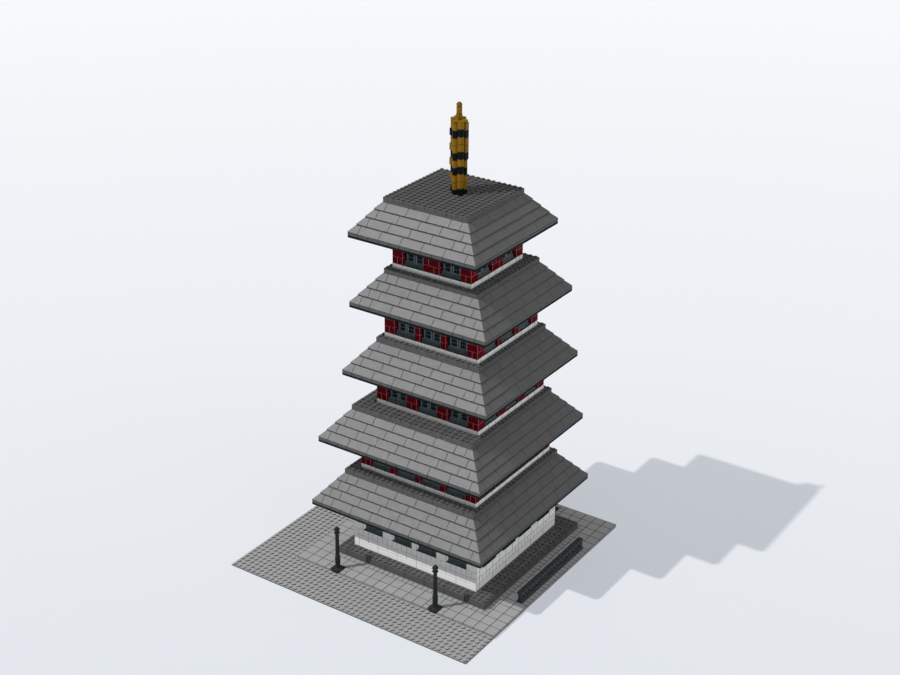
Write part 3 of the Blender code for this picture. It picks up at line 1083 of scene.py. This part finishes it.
def split_pier(start, end, length, owns, course):
    """Bricks of one pier in one course; owns says that this wall carries the corners."""
    if start == 0 and not owns:
        start = 1
    if end == length and not owns:
        end -= 1
    width = end - start
    if width == 3:
        middle = start + (2 if course % 2 == 0 else 1)
        return [(start, middle), (middle, end)]
    if width == 2 and not owns:
        return [(start, start + 1), (start + 1, end)]
    return [(start, end)]


def ground_walls(low, high, floor, brick):
    """Courses of the white ground storey up to the sills; each face owns its far corner."""
    boxes = []
    for course, lengths in enumerate(GROUND_COURSES):
        z_range = (floor + course * brick, floor + (course + 1) * brick)
        for face in range(FACES):
            for start, end in cut_run(1, high - low, lengths[face % 2]):
                boxes.append(face_box(low, high, face, start, end, z_range))
    return boxes


def white_band(low, high, z_range):
    """White band below the piers; front and back own the corners."""
    length = high - low
    boxes = []
    for face in range(FACES):
        if face % 2 == 0:
            first = 3 if length % 2 else 2
            runs = [(0, 2)] + ([(2, 3)] if first == 3 else []) + cut_run(first, length, 2)
        else:
            runs = cut_run(1, length - 1, 2)
        boxes += [face_box(low, high, face, start, end, z_range) for start, end in runs]
    return boxes


def pier_boxes(storey, low, high, sill, brick, slot):
    """Bricks of the piers, lapped at the corners in alternate courses."""
    boxes = []
    for course in range(PIER_COURSES):
        z_range = (sill + course * brick, sill + (course + 1) * brick)
        for face in range(FACES):
            owns = (course + face + (storey == 1)) % 2 == 1
            for pier in pier_runs(storey):
                for start, end in split_pier(*pier, high - low, owns, course):
                    boxes.append(face_box(low, high, face, start, end, z_range, slot))
    return boxes


def storey_levels(storey):
    """Floor, sill and head of a storey, and the top of its walls."""
    window_low, window_high = z_range_of(f"storey{storey}_windows")
    below = "plinth" if storey == 1 else f"roof{storey - 1}_deck"
    wall_top = top_of(f"storey{storey}_wall_front")
    return top_of(below), window_low - WINDOW_PLAY, window_high + WINDOW_PLAY, wall_top


class PAGODA_OT_walls(Operator):
    """Build the brick walls of the five storeys"""

    bl_idname = "pagoda.walls"
    bl_label = "Walls"

    def execute(self, context):
        brick = context.scene.pagoda_bricks.brick
        for storey in range(1, STOREYS + 1):
            low, high = stud_range(f"storey{storey}_wall_front")
            floor, sill, head, top = storey_levels(storey)
            if storey == 1:
                boxes = ground_walls(low, high, floor, brick)
                boxes += pier_boxes(storey, low, high, sill, brick, 0)
            else:
                boxes = white_band(low, high, (floor, sill))
                boxes += pier_boxes(storey, low, high, sill, brick, 1)
            if top - head > MM:
                boxes += white_band(low, high, (head, top))
            name = f"storey{storey}_wall_bricks"
            walls = brickwork(name, boxes, ("white", "red"), WALL_SEED + storey, WALL_EDGE)
            nodes = [f"storey{storey}_wall_{side}" for side in ("front", "right", "back", "left")]
            ride_root(walls, "white" if storey == 1 else "red", *nodes)
        return {"FINISHED"}


# Windows

BLACK_PART, FRAME_PART, PANE_PART = range(3)
UNIT_JOINT = 0.1 * MM
UNIT_WIDTH = BAY * STUD_PITCH
UNIT_MIDDLE = UNIT_WIDTH / 2
UNIT_BACK = STUD_PITCH - UNIT_JOINT
FULL_WIDTH = (UNIT_JOINT, UNIT_WIDTH - UNIT_JOINT)

# Foot of the unit: ledge, steps behind it, and slats before a panel
LEDGE_DEPTH = 1.2 * MM
LEDGE_LIP = 0.2 * MM
STEPS = 3
STEP_START = 1.3 * MM
STEP_PITCH = 1.15 * MM
STEP_DEPTH = 1.0 * MM
LOUVRES = 4
SLAT_SHARE = 0.75
SLAT_DEPTH = 0.6 * MM
PANEL_SETBACK = 0.5 * MM

# Frame and casements
FOOT_PLAY = 0.02 * MM
HEAD_RAIL = 1.8 * MM
LEAF_INSET = 0.35 * MM
LEAF_DEPTH = 1.2 * MM
LEAF_GAP = 0.25 * MM
LEAF_RAIL = 1.1 * MM
LEAF_START = 0.8 * MM
LEAF_STRIP = 1.0 * MM
BAR_SETBACK = 0.2 * MM
MEETING_HALF = 1.0 * MM
MEETING_SETBACK = 1.0 * MM

# Widths of broken edges, and masks of the parts that take a painted highlight in the frame's pale seam colour
BODY_EDGE = 0.2 * MM
LEAF_EDGE = 0.15 * MM
BAR_EDGE = 0.12 * MM
PANE_EDGE = 0.25 * MM
MEETING_EDGE = 0.05 * MM
HIGHLIGHT_STEP = 0.12
HIGHLIGHT_BAR = 0.1
HIGHLIGHT_UPRIGHT = 0.55


def add_part(shape, part, x_range, y_range, z_range, edge=BODY_EDGE, mask=0.0):
    """Box of a window unit, with at least this mask on its faces."""
    slots = shape.faces.layers.int["slot"]
    marks = shape.faces.layers.float["edge"]
    low, high = zip(x_range, y_range, z_range)
    for face in soft_box(shape, low, high, edge):
        face[slots] = part
        face[marks] = max(face[marks], mask)


def window_foot(shape, sizes):
    """Ledge, steps and louvred panel at the foot of a window unit."""
    front = sizes.recess
    floor = sizes.ledge - LEDGE_LIP
    add_part(shape, BLACK_PART, FULL_WIDTH, (UNIT_JOINT, LEDGE_DEPTH), (UNIT_JOINT, sizes.ledge))
    # The steps take a painted highlight
    for step in range(STEPS):
        start = STEP_START + STEP_PITCH * step
        depth = (start, start + STEP_DEPTH)
        add_part(shape, FRAME_PART, FULL_WIDTH, depth, (UNIT_JOINT, floor), mask=HIGHLIGHT_STEP)
    depth = (front + PANEL_SETBACK, UNIT_BACK)
    add_part(shape, FRAME_PART, FULL_WIDTH, depth, (UNIT_JOINT, sizes.sill))
    depth = (front, front + SLAT_DEPTH)
    pitch = (sizes.sill - floor) / LOUVRES
    # The slats take a painted highlight
    for step in range(LOUVRES):
        low = floor + step * pitch
        slat = (low, low + SLAT_SHARE * pitch)
        add_part(shape, FRAME_PART, FULL_WIDTH, depth, slat, mask=HIGHLIGHT_STEP)


def window_leaf(shape, sizes, side, foot, head):
    """Casement on one side of the middle of a window unit, with its bars and panes."""

    def across(start, end):
        return sorted((UNIT_MIDDLE + side * start, UNIT_MIDDLE + side * end))

    front = sizes.recess + LEAF_INSET
    depth = (front, front + LEAF_DEPTH)
    low = foot + LEAF_GAP
    inner = sizes.meeting
    outer = sizes.meeting + sizes.field
    end = UNIT_MIDDLE - UNIT_JOINT - sizes.jamb - LEAF_GAP
    strip = end - LEAF_STRIP
    # The inner stile and the outer strip take a painted highlight
    for span, mask in (
        (across(LEAF_START, inner), HIGHLIGHT_UPRIGHT),
        (across(outer, strip), 0.0),
        (across(strip, end), HIGHLIGHT_UPRIGHT),
    ):
        add_part(shape, FRAME_PART, span, depth, (low, head - LEAF_GAP), LEAF_EDGE, mask)
    field = across(inner, outer)
    panes_low = low + LEAF_RAIL
    add_part(shape, FRAME_PART, field, depth, (low, panes_low), LEAF_EDGE)
    level = panes_low + sizes.pitch - sizes.bar
    while level + sizes.bar < head:
        bar = (level, level + sizes.bar)
        # The bars take a painted highlight
        add_part(shape, FRAME_PART, field, (front + BAR_SETBACK, depth[1]), bar, BAR_EDGE, HIGHLIGHT_BAR)
        level += sizes.pitch
    behind = (sizes.recess + sizes.pane_depth, UNIT_BACK)
    pane = (field[0] - LEAF_GAP, field[1] + LEAF_GAP)
    add_part(shape, PANE_PART, pane, behind, (panes_low - LEAF_GAP, head), PANE_EDGE)


def window_unit(height):
    """Window unit along X, with the wall's face at Y 0 and the room at +Y."""
    sizes = bpy.context.scene.pagoda_windows
    shape = bmesh.new()
    shape.faces.layers.float.new("edge")
    shape.faces.layers.int.new("slot")
    window_foot(shape, sizes)
    foot = sizes.sill + FOOT_PLAY
    top = height - UNIT_JOINT
    head = top - HEAD_RAIL
    depth = (sizes.recess, UNIT_BACK)
    for start in (UNIT_JOINT, UNIT_WIDTH - UNIT_JOINT - sizes.jamb):
        add_part(shape, BLACK_PART, (start, start + sizes.jamb), depth, (foot, head))
    add_part(shape, FRAME_PART, FULL_WIDTH, depth, (head, top))
    for side in (-1, 1):
        window_leaf(shape, sizes, side, foot, head)
    meeting = (UNIT_MIDDLE - MEETING_HALF, UNIT_MIDDLE + MEETING_HALF)
    behind = (sizes.recess + LEAF_INSET + MEETING_SETBACK, UNIT_BACK)
    add_part(shape, PANE_PART, meeting, behind, (foot, head), MEETING_EDGE)
    return shape


class PAGODA_OT_windows(Operator):
    """Build the window units of the five storeys"""

    bl_idname = "pagoda.windows"
    bl_label = "Windows"

    def execute(self, context):
        for storey in range(1, STOREYS + 1):
            low, high = stud_range(f"storey{storey}_wall_front")
            _, sill, head, _ = storey_levels(storey)
            places = []
            for face in range(FACES):
                for _, end in pier_runs(storey)[:-1]:
                    places.append(((*face_point(low, high, face, end), sill), 0, face * QUARTER_TURN))
            name = f"storey{storey}_window_units"
            units = [window_unit(head - sill)]
            materials = ("black", "frame", "pane")
            windows = place_shapes(name, units, places, materials, WINDOW_SEED + storey)
            ride_root(windows, "black", f"storey{storey}_windows")
        return {"FINISHED"}


# Roofs

SLOPE_ROWS = 4
CORNER_BRICK, SHORT_BRICK, LONG_BRICK = range(3)
SHORT_SLOPE = 2
LONG_SLOPE = 4
END_SEAM = 0.55
# Mask of painted shade on the upright lip at the foot of a slope brick
LIP_SHADE_MASK = 0.7
FLAT_LIMIT = 0.02
LIP_BEND = 0.9
END_NORMAL = 0.3
UNDERSIDE = -0.5
EAVE_PLATE = 8
DECK_PLATE = 6


def slope_brick(corners):
    """Slope brick through its corners, with broken edges towards its neighbours."""
    shape = bmesh.new()
    for corner in corners:
        shape.verts.new(corner)
    bmesh.ops.convex_hull(shape, input=shape.verts)
    bmesh.ops.dissolve_limit(shape, angle_limit=FLAT_LIMIT, verts=shape.verts, edges=shape.edges)
    bmesh.ops.recalc_face_normals(shape, faces=shape.faces)
    shape.faces.layers.float.new("edge")
    mark_seams_and_lip_shade(shape)
    return shape


def mark_seams_and_lip_shade(shape):
    """Break the edges but the bend above the lip, mask the ends as seams, and paint shade on the lip."""
    sizes = bpy.context.scene.pagoda_bricks
    middle = 0.5 * STUD_PITCH
    met = []
    for edge in shape.edges:
        if edge.calc_face_angle(0.0) > LIP_BEND or max(vertex.co.z for vertex in edge.verts) > middle:
            met.append(edge)
    break_edges(shape, met, sizes.edge)
    layer = shape.faces.layers.float["edge"]
    lip_top = sizes.slope_lip + sizes.edge
    shape.normal_update()
    for face in shape.faces:
        normal = face.normal
        top = max(vertex.co.z for vertex in face.verts)
        if face[layer] and min(abs(normal.x), abs(normal.y)) > END_NORMAL:
            face[layer] = END_SEAM
        # The upright lip takes painted shade
        elif not face[layer] and top < lip_top and normal.z > UNDERSIDE:
            face[layer] = LIP_SHADE_MASK


def slope_bricks():
    """Corner brick, and straight bricks of both lengths, with the foot along X from the origin."""
    sizes = bpy.context.scene.pagoda_bricks
    joint = sizes.joint
    lip = sizes.slope_lip
    top = sizes.brick - joint
    ridge = STUD_PITCH - joint
    far = 2 * STUD_PITCH - joint
    corner = [(x, y, joint) for x in (joint, far) for y in (joint, far)]
    corner += [(joint, joint, lip), (far, joint, lip), (joint, far, lip)]
    corner += [(x, y, top) for x in (ridge, far) for y in (ridge, far)]
    bricks = [corner]
    profile = ((joint, joint), (far, joint), (far, top), (ridge, top), (joint, lip))
    for studs in (SHORT_SLOPE, LONG_SLOPE):
        ends = (joint, studs * STUD_PITCH - joint)
        bricks.append([(x, y, z) for x in ends for y, z in profile])
    return [slope_brick(corners) for corners in bricks]


def slope_places(roof_low, roof_high, base):
    """Places of the slope bricks of one roof."""
    brick = bpy.context.scene.pagoda_bricks.brick
    places = []
    filler = (roof_high - roof_low) % LONG_SLOPE == SHORT_SLOPE
    for row in range(SLOPE_ROWS):
        low = roof_low + row
        high = roof_high - row
        runs = [(0, CORNER_BRICK)]
        start = SHORT_SLOPE
        if filler:
            runs.append((start, SHORT_BRICK))
            start += SHORT_SLOPE
        last = high - low - SHORT_SLOPE
        if row % 2 == 1:
            last -= SHORT_SLOPE
            runs.append((last, SHORT_BRICK))
        runs += [(along, LONG_BRICK) for along in range(start, last, LONG_SLOPE)]
        for face in range(FACES):
            for along, kind in runs:
                position = (*face_point(low, high, face, along), base + row * brick)
                places.append((position, kind, face * QUARTER_TURN))
    return places


def build_plates(node, floor, length, materials, seed):
    """Two crossed layers of plates from a floor to the top of a CAD node."""
    low, high = stud_range(node)
    top = top_of(node)
    middle = (floor + top) / 2
    lower = bond(low, high, (floor, middle), length)
    upper = bond(low, high, (middle, top), length, along_x=False, slot=len(materials) - 1)
    plates = brickwork(f"{node}_plates", lower + upper, materials, seed)
    ride_root(plates, "dark_grey", node)


def hidden_studs(roof):
    """Studs of a deck that the walls of the next storey or the spire cover."""
    if roof < STOREYS:
        return {"covered": stud_range(f"storey{roof + 1}_wall_front")}
    return {"taken": [(SPIRE_STUD + x, SPIRE_STUD + y) for x, y in SPIRE_COLUMNS]}


class PAGODA_OT_roofs(Operator):
    """Build the eave plates, slope bricks and studded decks of the five roofs"""

    bl_idname = "pagoda.roofs"
    bl_label = "Roofs"

    def execute(self, context):
        for roof in range(1, STOREYS + 1):
            eave = f"roof{roof}_eave"
            build_plates(eave, storey_levels(roof)[3], EAVE_PLATE, ("black", "dark_grey"), EAVE_SEED + roof)
            places = slope_places(*stud_range(eave), top_of(eave))
            name = f"roof{roof}_slope_bricks"
            bricks = place_shapes(name, slope_bricks(), places, ("slope",), SLOPE_SEED + roof)
            ride_root(bricks, "light_grey", f"roof{roof}_slopes")

            deck = f"roof{roof}_deck"
            build_plates(deck, top_of(f"roof{roof}_slopes"), DECK_PLATE, ("dark_grey",), DECK_SEED + roof)
            square = (*stud_range(deck), top_of(deck))
            hidden = hidden_studs(roof)
            studs = stud_field(f"{deck}_studs", *square, "dark_grey", DECK_STUD_SEED + roof, **hidden)
            ride_root(studs, "dark_grey")
        return {"FINISHED"}


# Spire

# Columns as stud offsets from the middle one, and the black levels among ten
SPIRE_STUD = 27
SPIRE_CENTRE = SPIRE_STUD + 0.5
SPIRE_LEVELS = 10
SPIRE_BLACK = (0, 3, 5, 8)
SPIRE_LEFT = (-1, 0)
SPIRE_RIGHT = (1, 0)
SPIRE_TALL = (1, -1)
SPIRE_COLUMNS = ((0, 0), (0, -1), SPIRE_TALL, SPIRE_RIGHT, SPIRE_LEFT, (0, 1), (-1, 1))
SPIRE_BRACKET = (1, 2)
SPIRE_SQUARE = {SPIRE_LEFT: (4, 6, 8), SPIRE_RIGHT: (5, 6, 7, 8, 9)}
ROUND_BRICK, SQUARE_BRICK, BRACKET_BRICK, CAP_PLATE, FOOT_PLATES = range(SHAPE_KINDS)

TURNED_SIDES = 24
TURNED_CREASE = 0.5
RIM_NORMALS = (0.1, 0.95)

# Millimetres
SPIRE_HALF = STUD_PITCH / 2 / MM
SPIRE_EDGE = 0.3
SPIRE_JOINT = 0.1
ROUND_PLAY = 0.05
BRACKET_FOOT = 0.6
BRACKET_EDGE = 0.25
CAP_RIM = 0.35
PIN_SLIMMER = 0.45
PIN_NECK = 2.7


def turned(profile):
    """Closed turned shape through pairs of height and radius in millimetres; its rims are marked."""
    loops = [round_loop(height, [radius] * TURNED_SIDES) for height, radius in profile]
    shape = smooth_round(skin(loops), TURNED_CREASE)
    layer = shape.faces.layers.float.new("edge")
    lowest, highest = RIM_NORMALS
    for face in shape.faces:
        if lowest < abs(face.normal.z) < highest:
            face[layer] = 1.0
    return shape


def round_brick(height, rim=0.0):
    """Round brick of one stud, with broken rims; a rim stands out round its top."""
    radius = SPIRE_HALF - ROUND_PLAY
    bottom = SPIRE_JOINT
    top = height - SPIRE_JOINT
    low = ((bottom, radius - SPIRE_EDGE), (bottom + SPIRE_EDGE, radius))
    neck = ((height / 2, radius), (height / 2, radius + rim)) if rim else ()
    high = ((top - SPIRE_EDGE, radius + rim), (top, radius + rim - SPIRE_EDGE))
    return turned((*low, *neck, *high))


def square_brick(height):
    """Square brick of one stud about its own axis."""
    shape = bmesh.new()
    shape.faces.layers.float.new("edge")
    half = SPIRE_HALF - SPIRE_JOINT
    low = scaled(-half, -half, SPIRE_JOINT)
    soft_box(shape, low, scaled(half, half, height - SPIRE_JOINT), SPIRE_EDGE * MM)
    return shape


def bracket_brick(height):
    """Bracket that leans out to the left, from the middle column's side at its foot."""
    half = SPIRE_HALF - SPIRE_JOINT
    bottom = SPIRE_JOINT
    top = height - SPIRE_JOINT
    lip = bpy.context.scene.pagoda_bricks.slope_lip / MM
    foot = half - BRACKET_FOOT
    profile = ((half, bottom), (half, top), (-half, top), (-half, height - lip), (foot, bottom))
    shape = skin([[scaled(x, y, z) for x, z in profile] for y in (-half, half)])
    shape.faces.layers.float.new("edge")
    break_edges(shape, shape.edges[:], BRACKET_EDGE * MM)
    return shape


def spire_places(base, brick):
    """Places and slots of the bricks of the spire.

    The front column is ten bricks high. The others start with two plates and end with one."""
    plate = brick / 3
    places = []
    slots = []

    def add(column, height, kind, slot):
        x, y = (line(SPIRE_CENTRE + offset) for offset in column)
        places.append(((x, y, base + height), kind, 0.0))
        slots.append(slot)

    for column in SPIRE_COLUMNS:
        lowered = 0.0
        first = 0
        if column != SPIRE_TALL:
            lowered = plate
            first = 1
            add(column, 0.0, FOOT_PLATES, 1)
            add(column, SPIRE_LEVELS * brick - plate, CAP_PLATE, 0)
        for level in range(first, SPIRE_LEVELS):
            kind = SQUARE_BRICK if level in SPIRE_SQUARE.get(column, ()) else ROUND_BRICK
            if column == SPIRE_LEFT and level in SPIRE_BRACKET:
                if level != SPIRE_BRACKET[0]:
                    continue
                kind = BRACKET_BRICK
            add(column, level * brick - lowered, kind, int(level in SPIRE_BLACK))
    return places, slots


def pin_profile(plate):
    """Pin of two foot plates, a brick and a plate with its stud, each with a narrow neck."""
    sizes = bpy.context.scene.pagoda_bricks
    low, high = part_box("spire_pin")
    foot = (high.x - low.x) / 2 / MM
    shaft = foot - PIN_SLIMMER
    stud = sizes.stud_radius / MM
    foot_top = 2 * plate
    top = 6 * plate
    neck = top - plate
    tip = top + sizes.stud_height / MM
    feet = (
        (0.1, foot - 0.3), (0.4, foot), (plate - 0.2, foot), (plate, foot - 0.25),
        (plate + 0.2, foot), (foot_top - 0.3, foot), (foot_top, foot - 0.3), (foot_top, PIN_NECK),
    )
    brick = (
        (foot_top + 0.9, PIN_NECK), (foot_top + 0.9, shaft - 0.2), (foot_top + 1.1, shaft),
        (neck - 0.2, shaft), (neck, shaft - 0.3), (neck, PIN_NECK),
    )
    cap = (
        (neck + 1.0, PIN_NECK), (neck + 1.0, shaft - 0.1), (neck + 1.2, shaft + 0.1),
        (top - 0.2, shaft + 0.1), (top, shaft - 0.1), (top, stud), (tip - 0.3, stud), (tip, stud - 0.3),
    )
    return (*feet, *brick, *cap)


class PAGODA_OT_spire(Operator):
    """Build the banded bundle of the spire and its pin"""

    bl_idname = "pagoda.spire"
    bl_label = "Spire"

    def execute(self, context):
        sizes = context.scene.pagoda_bricks
        brick = sizes.brick / MM
        plate = sizes.plate / MM
        shapes = [round_brick(brick), square_brick(brick), bracket_brick(2 * brick)]
        shapes += [round_brick(plate, CAP_RIM), round_brick(2 * plate)]
        deck = top_of("roof5_deck")
        places, slots = spire_places(deck, sizes.brick)
        spire = place_shapes("spire_bricks", shapes, places, ("gold", "black"), SPIRE_SEED, slots)
        ride_root(spire, "gold", "spire_columns")

        shape = turned(pin_profile(plate))
        place = (line(SPIRE_CENTRE), line(SPIRE_CENTRE), deck + SPIRE_LEVELS * sizes.brick)
        bmesh.ops.translate(shape, verts=shape.verts, vec=place)
        pin = add_shape("spire_pin_bricks", shape)
        pin.data.materials.append(plastic("gold"))
        ride_root(pin, "gold", "spire_pin")
        return {"FINISHED"}


# Stage

CAMERA_PLACE = Vector((1.0747, -1.5321, 1.2244))
SENSOR_WIDTH = 36.0
CLIP_END = 100.0
SUN_DIRECTION = Vector((0.4235, 0.5133, -0.7462))
SUN_DISTANCE = 3.0
FILL_LIGHTS = (
    ("fill_top", (0.0, 0.0, -1.0), 1.43),
    ("fill_right", (-1.0, 0.2, -0.1), 1.02),
    ("fill_front", (0.1, 1.0, -0.1), 0.27),
)
FILL_ANGLE = math.radians(60.0)
SKY_COLOUR = (0.92, 0.94, 0.98, 1.0)
FLOOR_SIZE = 40.0
FLOOR_Z = -0.0002
FLOOR_ROUGHNESS = 0.9
GLOW_REACH = 6.0

# Glow of the floor by distance from the foot of the camera: near, middle and far
FLOOR_GLOW = (
    (1.58, (0.26, 0.292, 0.337)),
    (2.54, (0.335, 0.357, 0.398)),
    (4.98, (0.435, 0.440, 0.470)),
)


def camera_matrix(stage):
    """Place and turn of the camera from its angles."""
    azimuth = stage.azimuth
    level = math.cos(stage.elevation)
    back = Vector((math.sin(azimuth) * level, -math.cos(azimuth) * level, math.sin(stage.elevation)))
    right = (-back).cross(Vector((0.0, 0.0, 1.0))).normalized()
    down = (-back).cross(right)
    cosine = math.cos(stage.roll)
    sine = math.sin(stage.roll)
    turned_right = right * cosine + down * sine
    turned_down = down * cosine - right * sine
    turn = Matrix((turned_right, -turned_down, back)).transposed()
    return Matrix.Translation(CAMERA_PLACE) @ turn.to_4x4()


def floor_material(stage):
    """Pale floor that glows, more with distance from the camera's foot, so that its shade stays light."""
    material = bpy.data.materials.new("floor_pale")
    material.use_nodes = True
    tree = material.node_tree
    shader = tree.nodes["Principled BSDF"].inputs
    shader["Base Color"].default_value = (*stage.floor, 1.0)
    shader["Roughness"].default_value = FLOOR_ROUGHNESS
    shader["Specular IOR Level"].default_value = 0.0
    place = add_node(tree, "ShaderNodeTexCoord").outputs["Object"]
    distance = vector_maths(tree, "DISTANCE", place, (CAMERA_PLACE.x, CAMERA_PLACE.y, 0.0))
    share = maths(tree, "DIVIDE", distance, GLOW_REACH)
    tint = add_node(tree, "ShaderNodeValToRGB", {"Fac": share})
    stops = tint.color_ramp.elements
    stops.new(0.5)
    for stop, (reach, colour) in zip(stops, FLOOR_GLOW):
        stop.position = reach / GLOW_REACH
        stop.color = (*colour, 1.0)
    tree.links.new(tint.outputs["Color"], shader["Emission Color"])
    shader["Emission Strength"].default_value = stage.glow
    arrange(tree)
    return material


def build_floor(stage):
    """Floor just below the baseplate."""
    shape = bmesh.new()
    bmesh.ops.create_grid(shape, x_segments=1, y_segments=1, size=FLOOR_SIZE / 2)
    bmesh.ops.translate(shape, verts=shape.verts, vec=(0.0, 0.0, FLOOR_Z))
    floor = add_shape("floor", shape)
    floor.data.materials.append(floor_material(stage))


def build_world(stage):
    """Dim even sky that looks pale where the camera sees it."""
    world = bpy.data.worlds.new("pale_sky")
    world.use_nodes = True
    tree = world.node_tree
    background = tree.nodes["Background"]
    background.inputs["Color"].default_value = SKY_COLOUR
    seen = add_node(tree, "ShaderNodeLightPath").outputs["Is Camera Ray"]
    strength = maths(tree, "MULTIPLY_ADD", seen, 1.0 - stage.sky, stage.sky)
    tree.links.new(strength, background.inputs["Strength"])
    bpy.context.scene.world = world


def add_sun(name, direction, strength, angle):
    """Sun that shines along a direction."""
    data = bpy.data.lights.new(name, "SUN")
    data.energy = strength
    data.angle = angle
    sun = add_object(name, data)
    sun.rotation_euler = Vector(direction).to_track_quat("-Z", "Y").to_euler()
    sun.location = -Vector(direction) * SUN_DISTANCE
    return data


def build_lights(stage):
    """Main light from the front left, and fill lights that cast no shadow."""
    add_sun("sun", SUN_DIRECTION, stage.sun, stage.sun_angle)
    for name, direction, strength in FILL_LIGHTS:
        data = add_sun(name, direction, strength * stage.fill, FILL_ANGLE)
        data.use_shadow = False
        data.specular_factor = 0.0


class PAGODA_OT_stage(Operator):
    """Build the floor, the light and the camera"""

    bl_idname = "pagoda.stage"
    bl_label = "Floor, light and camera"

    def execute(self, context):
        stage = context.scene.pagoda_stage
        build_floor(stage)
        build_world(stage)
        build_lights(stage)
        data = bpy.data.cameras.new("camera")
        data.lens = stage.lens
        data.sensor_width = SENSOR_WIDTH
        data.clip_end = CLIP_END
        camera = add_object("camera", data)
        camera.matrix_world = camera_matrix(stage)
        context.scene.camera = camera
        context.scene.view_settings.view_transform = "Standard"
        return {"FINISHED"}


OPERATORS = (
    PAGODA_OT_ground,
    PAGODA_OT_lamps,
    PAGODA_OT_fence,
    PAGODA_OT_walls,
    PAGODA_OT_windows,
    PAGODA_OT_roofs,
    PAGODA_OT_spire,
    PAGODA_OT_stage,
)
SETTINGS = {
    "pagoda_bricks": PagodaBrickSizes,
    "pagoda_windows": PagodaWindowSizes,
    "pagoda_colours": PagodaColours,
    "pagoda_stage": PagodaStage,
}


class PAGODA_PT_pieces(Panel):
    """Buttons for the pieces of the pagoda, and their sizes and colours"""

    bl_label = "Toy brick pagoda"
    bl_idname = "PAGODA_PT_pieces"
    bl_space_type = "VIEW_3D"
    bl_region_type = "UI"
    bl_category = "Pagoda"

    def draw(self, context):
        layout = self.layout
        for operator in OPERATORS:
            layout.operator(operator.bl_idname)
        for key in SETTINGS:
            box = layout.box()
            settings = getattr(context.scene, key)
            for name in settings.__annotations__:
                box.prop(settings, name)


def register():
    for settings in SETTINGS.values():
        bpy.utils.register_class(settings)
    for key, settings in SETTINGS.items():
        setattr(bpy.types.Scene, key, PointerProperty(type=settings))
    for operator in OPERATORS:
        bpy.utils.register_class(operator)
    bpy.utils.register_class(PAGODA_PT_pieces)


def unregister():
    bpy.utils.unregister_class(PAGODA_PT_pieces)
    for operator in reversed(OPERATORS):
        bpy.utils.unregister_class(operator)
    for key, settings in SETTINGS.items():
        delattr(bpy.types.Scene, key)
        bpy.utils.unregister_class(settings)


def main():
    """Build every piece in order."""
    register()
    bpy.ops.pagoda.ground()
    bpy.ops.pagoda.lamps()
    bpy.ops.pagoda.fence()
    bpy.ops.pagoda.walls()
    bpy.ops.pagoda.windows()
    bpy.ops.pagoda.roofs()
    bpy.ops.pagoda.spire()
    bpy.ops.pagoda.stage()


if __name__ == "__main__":
    main()
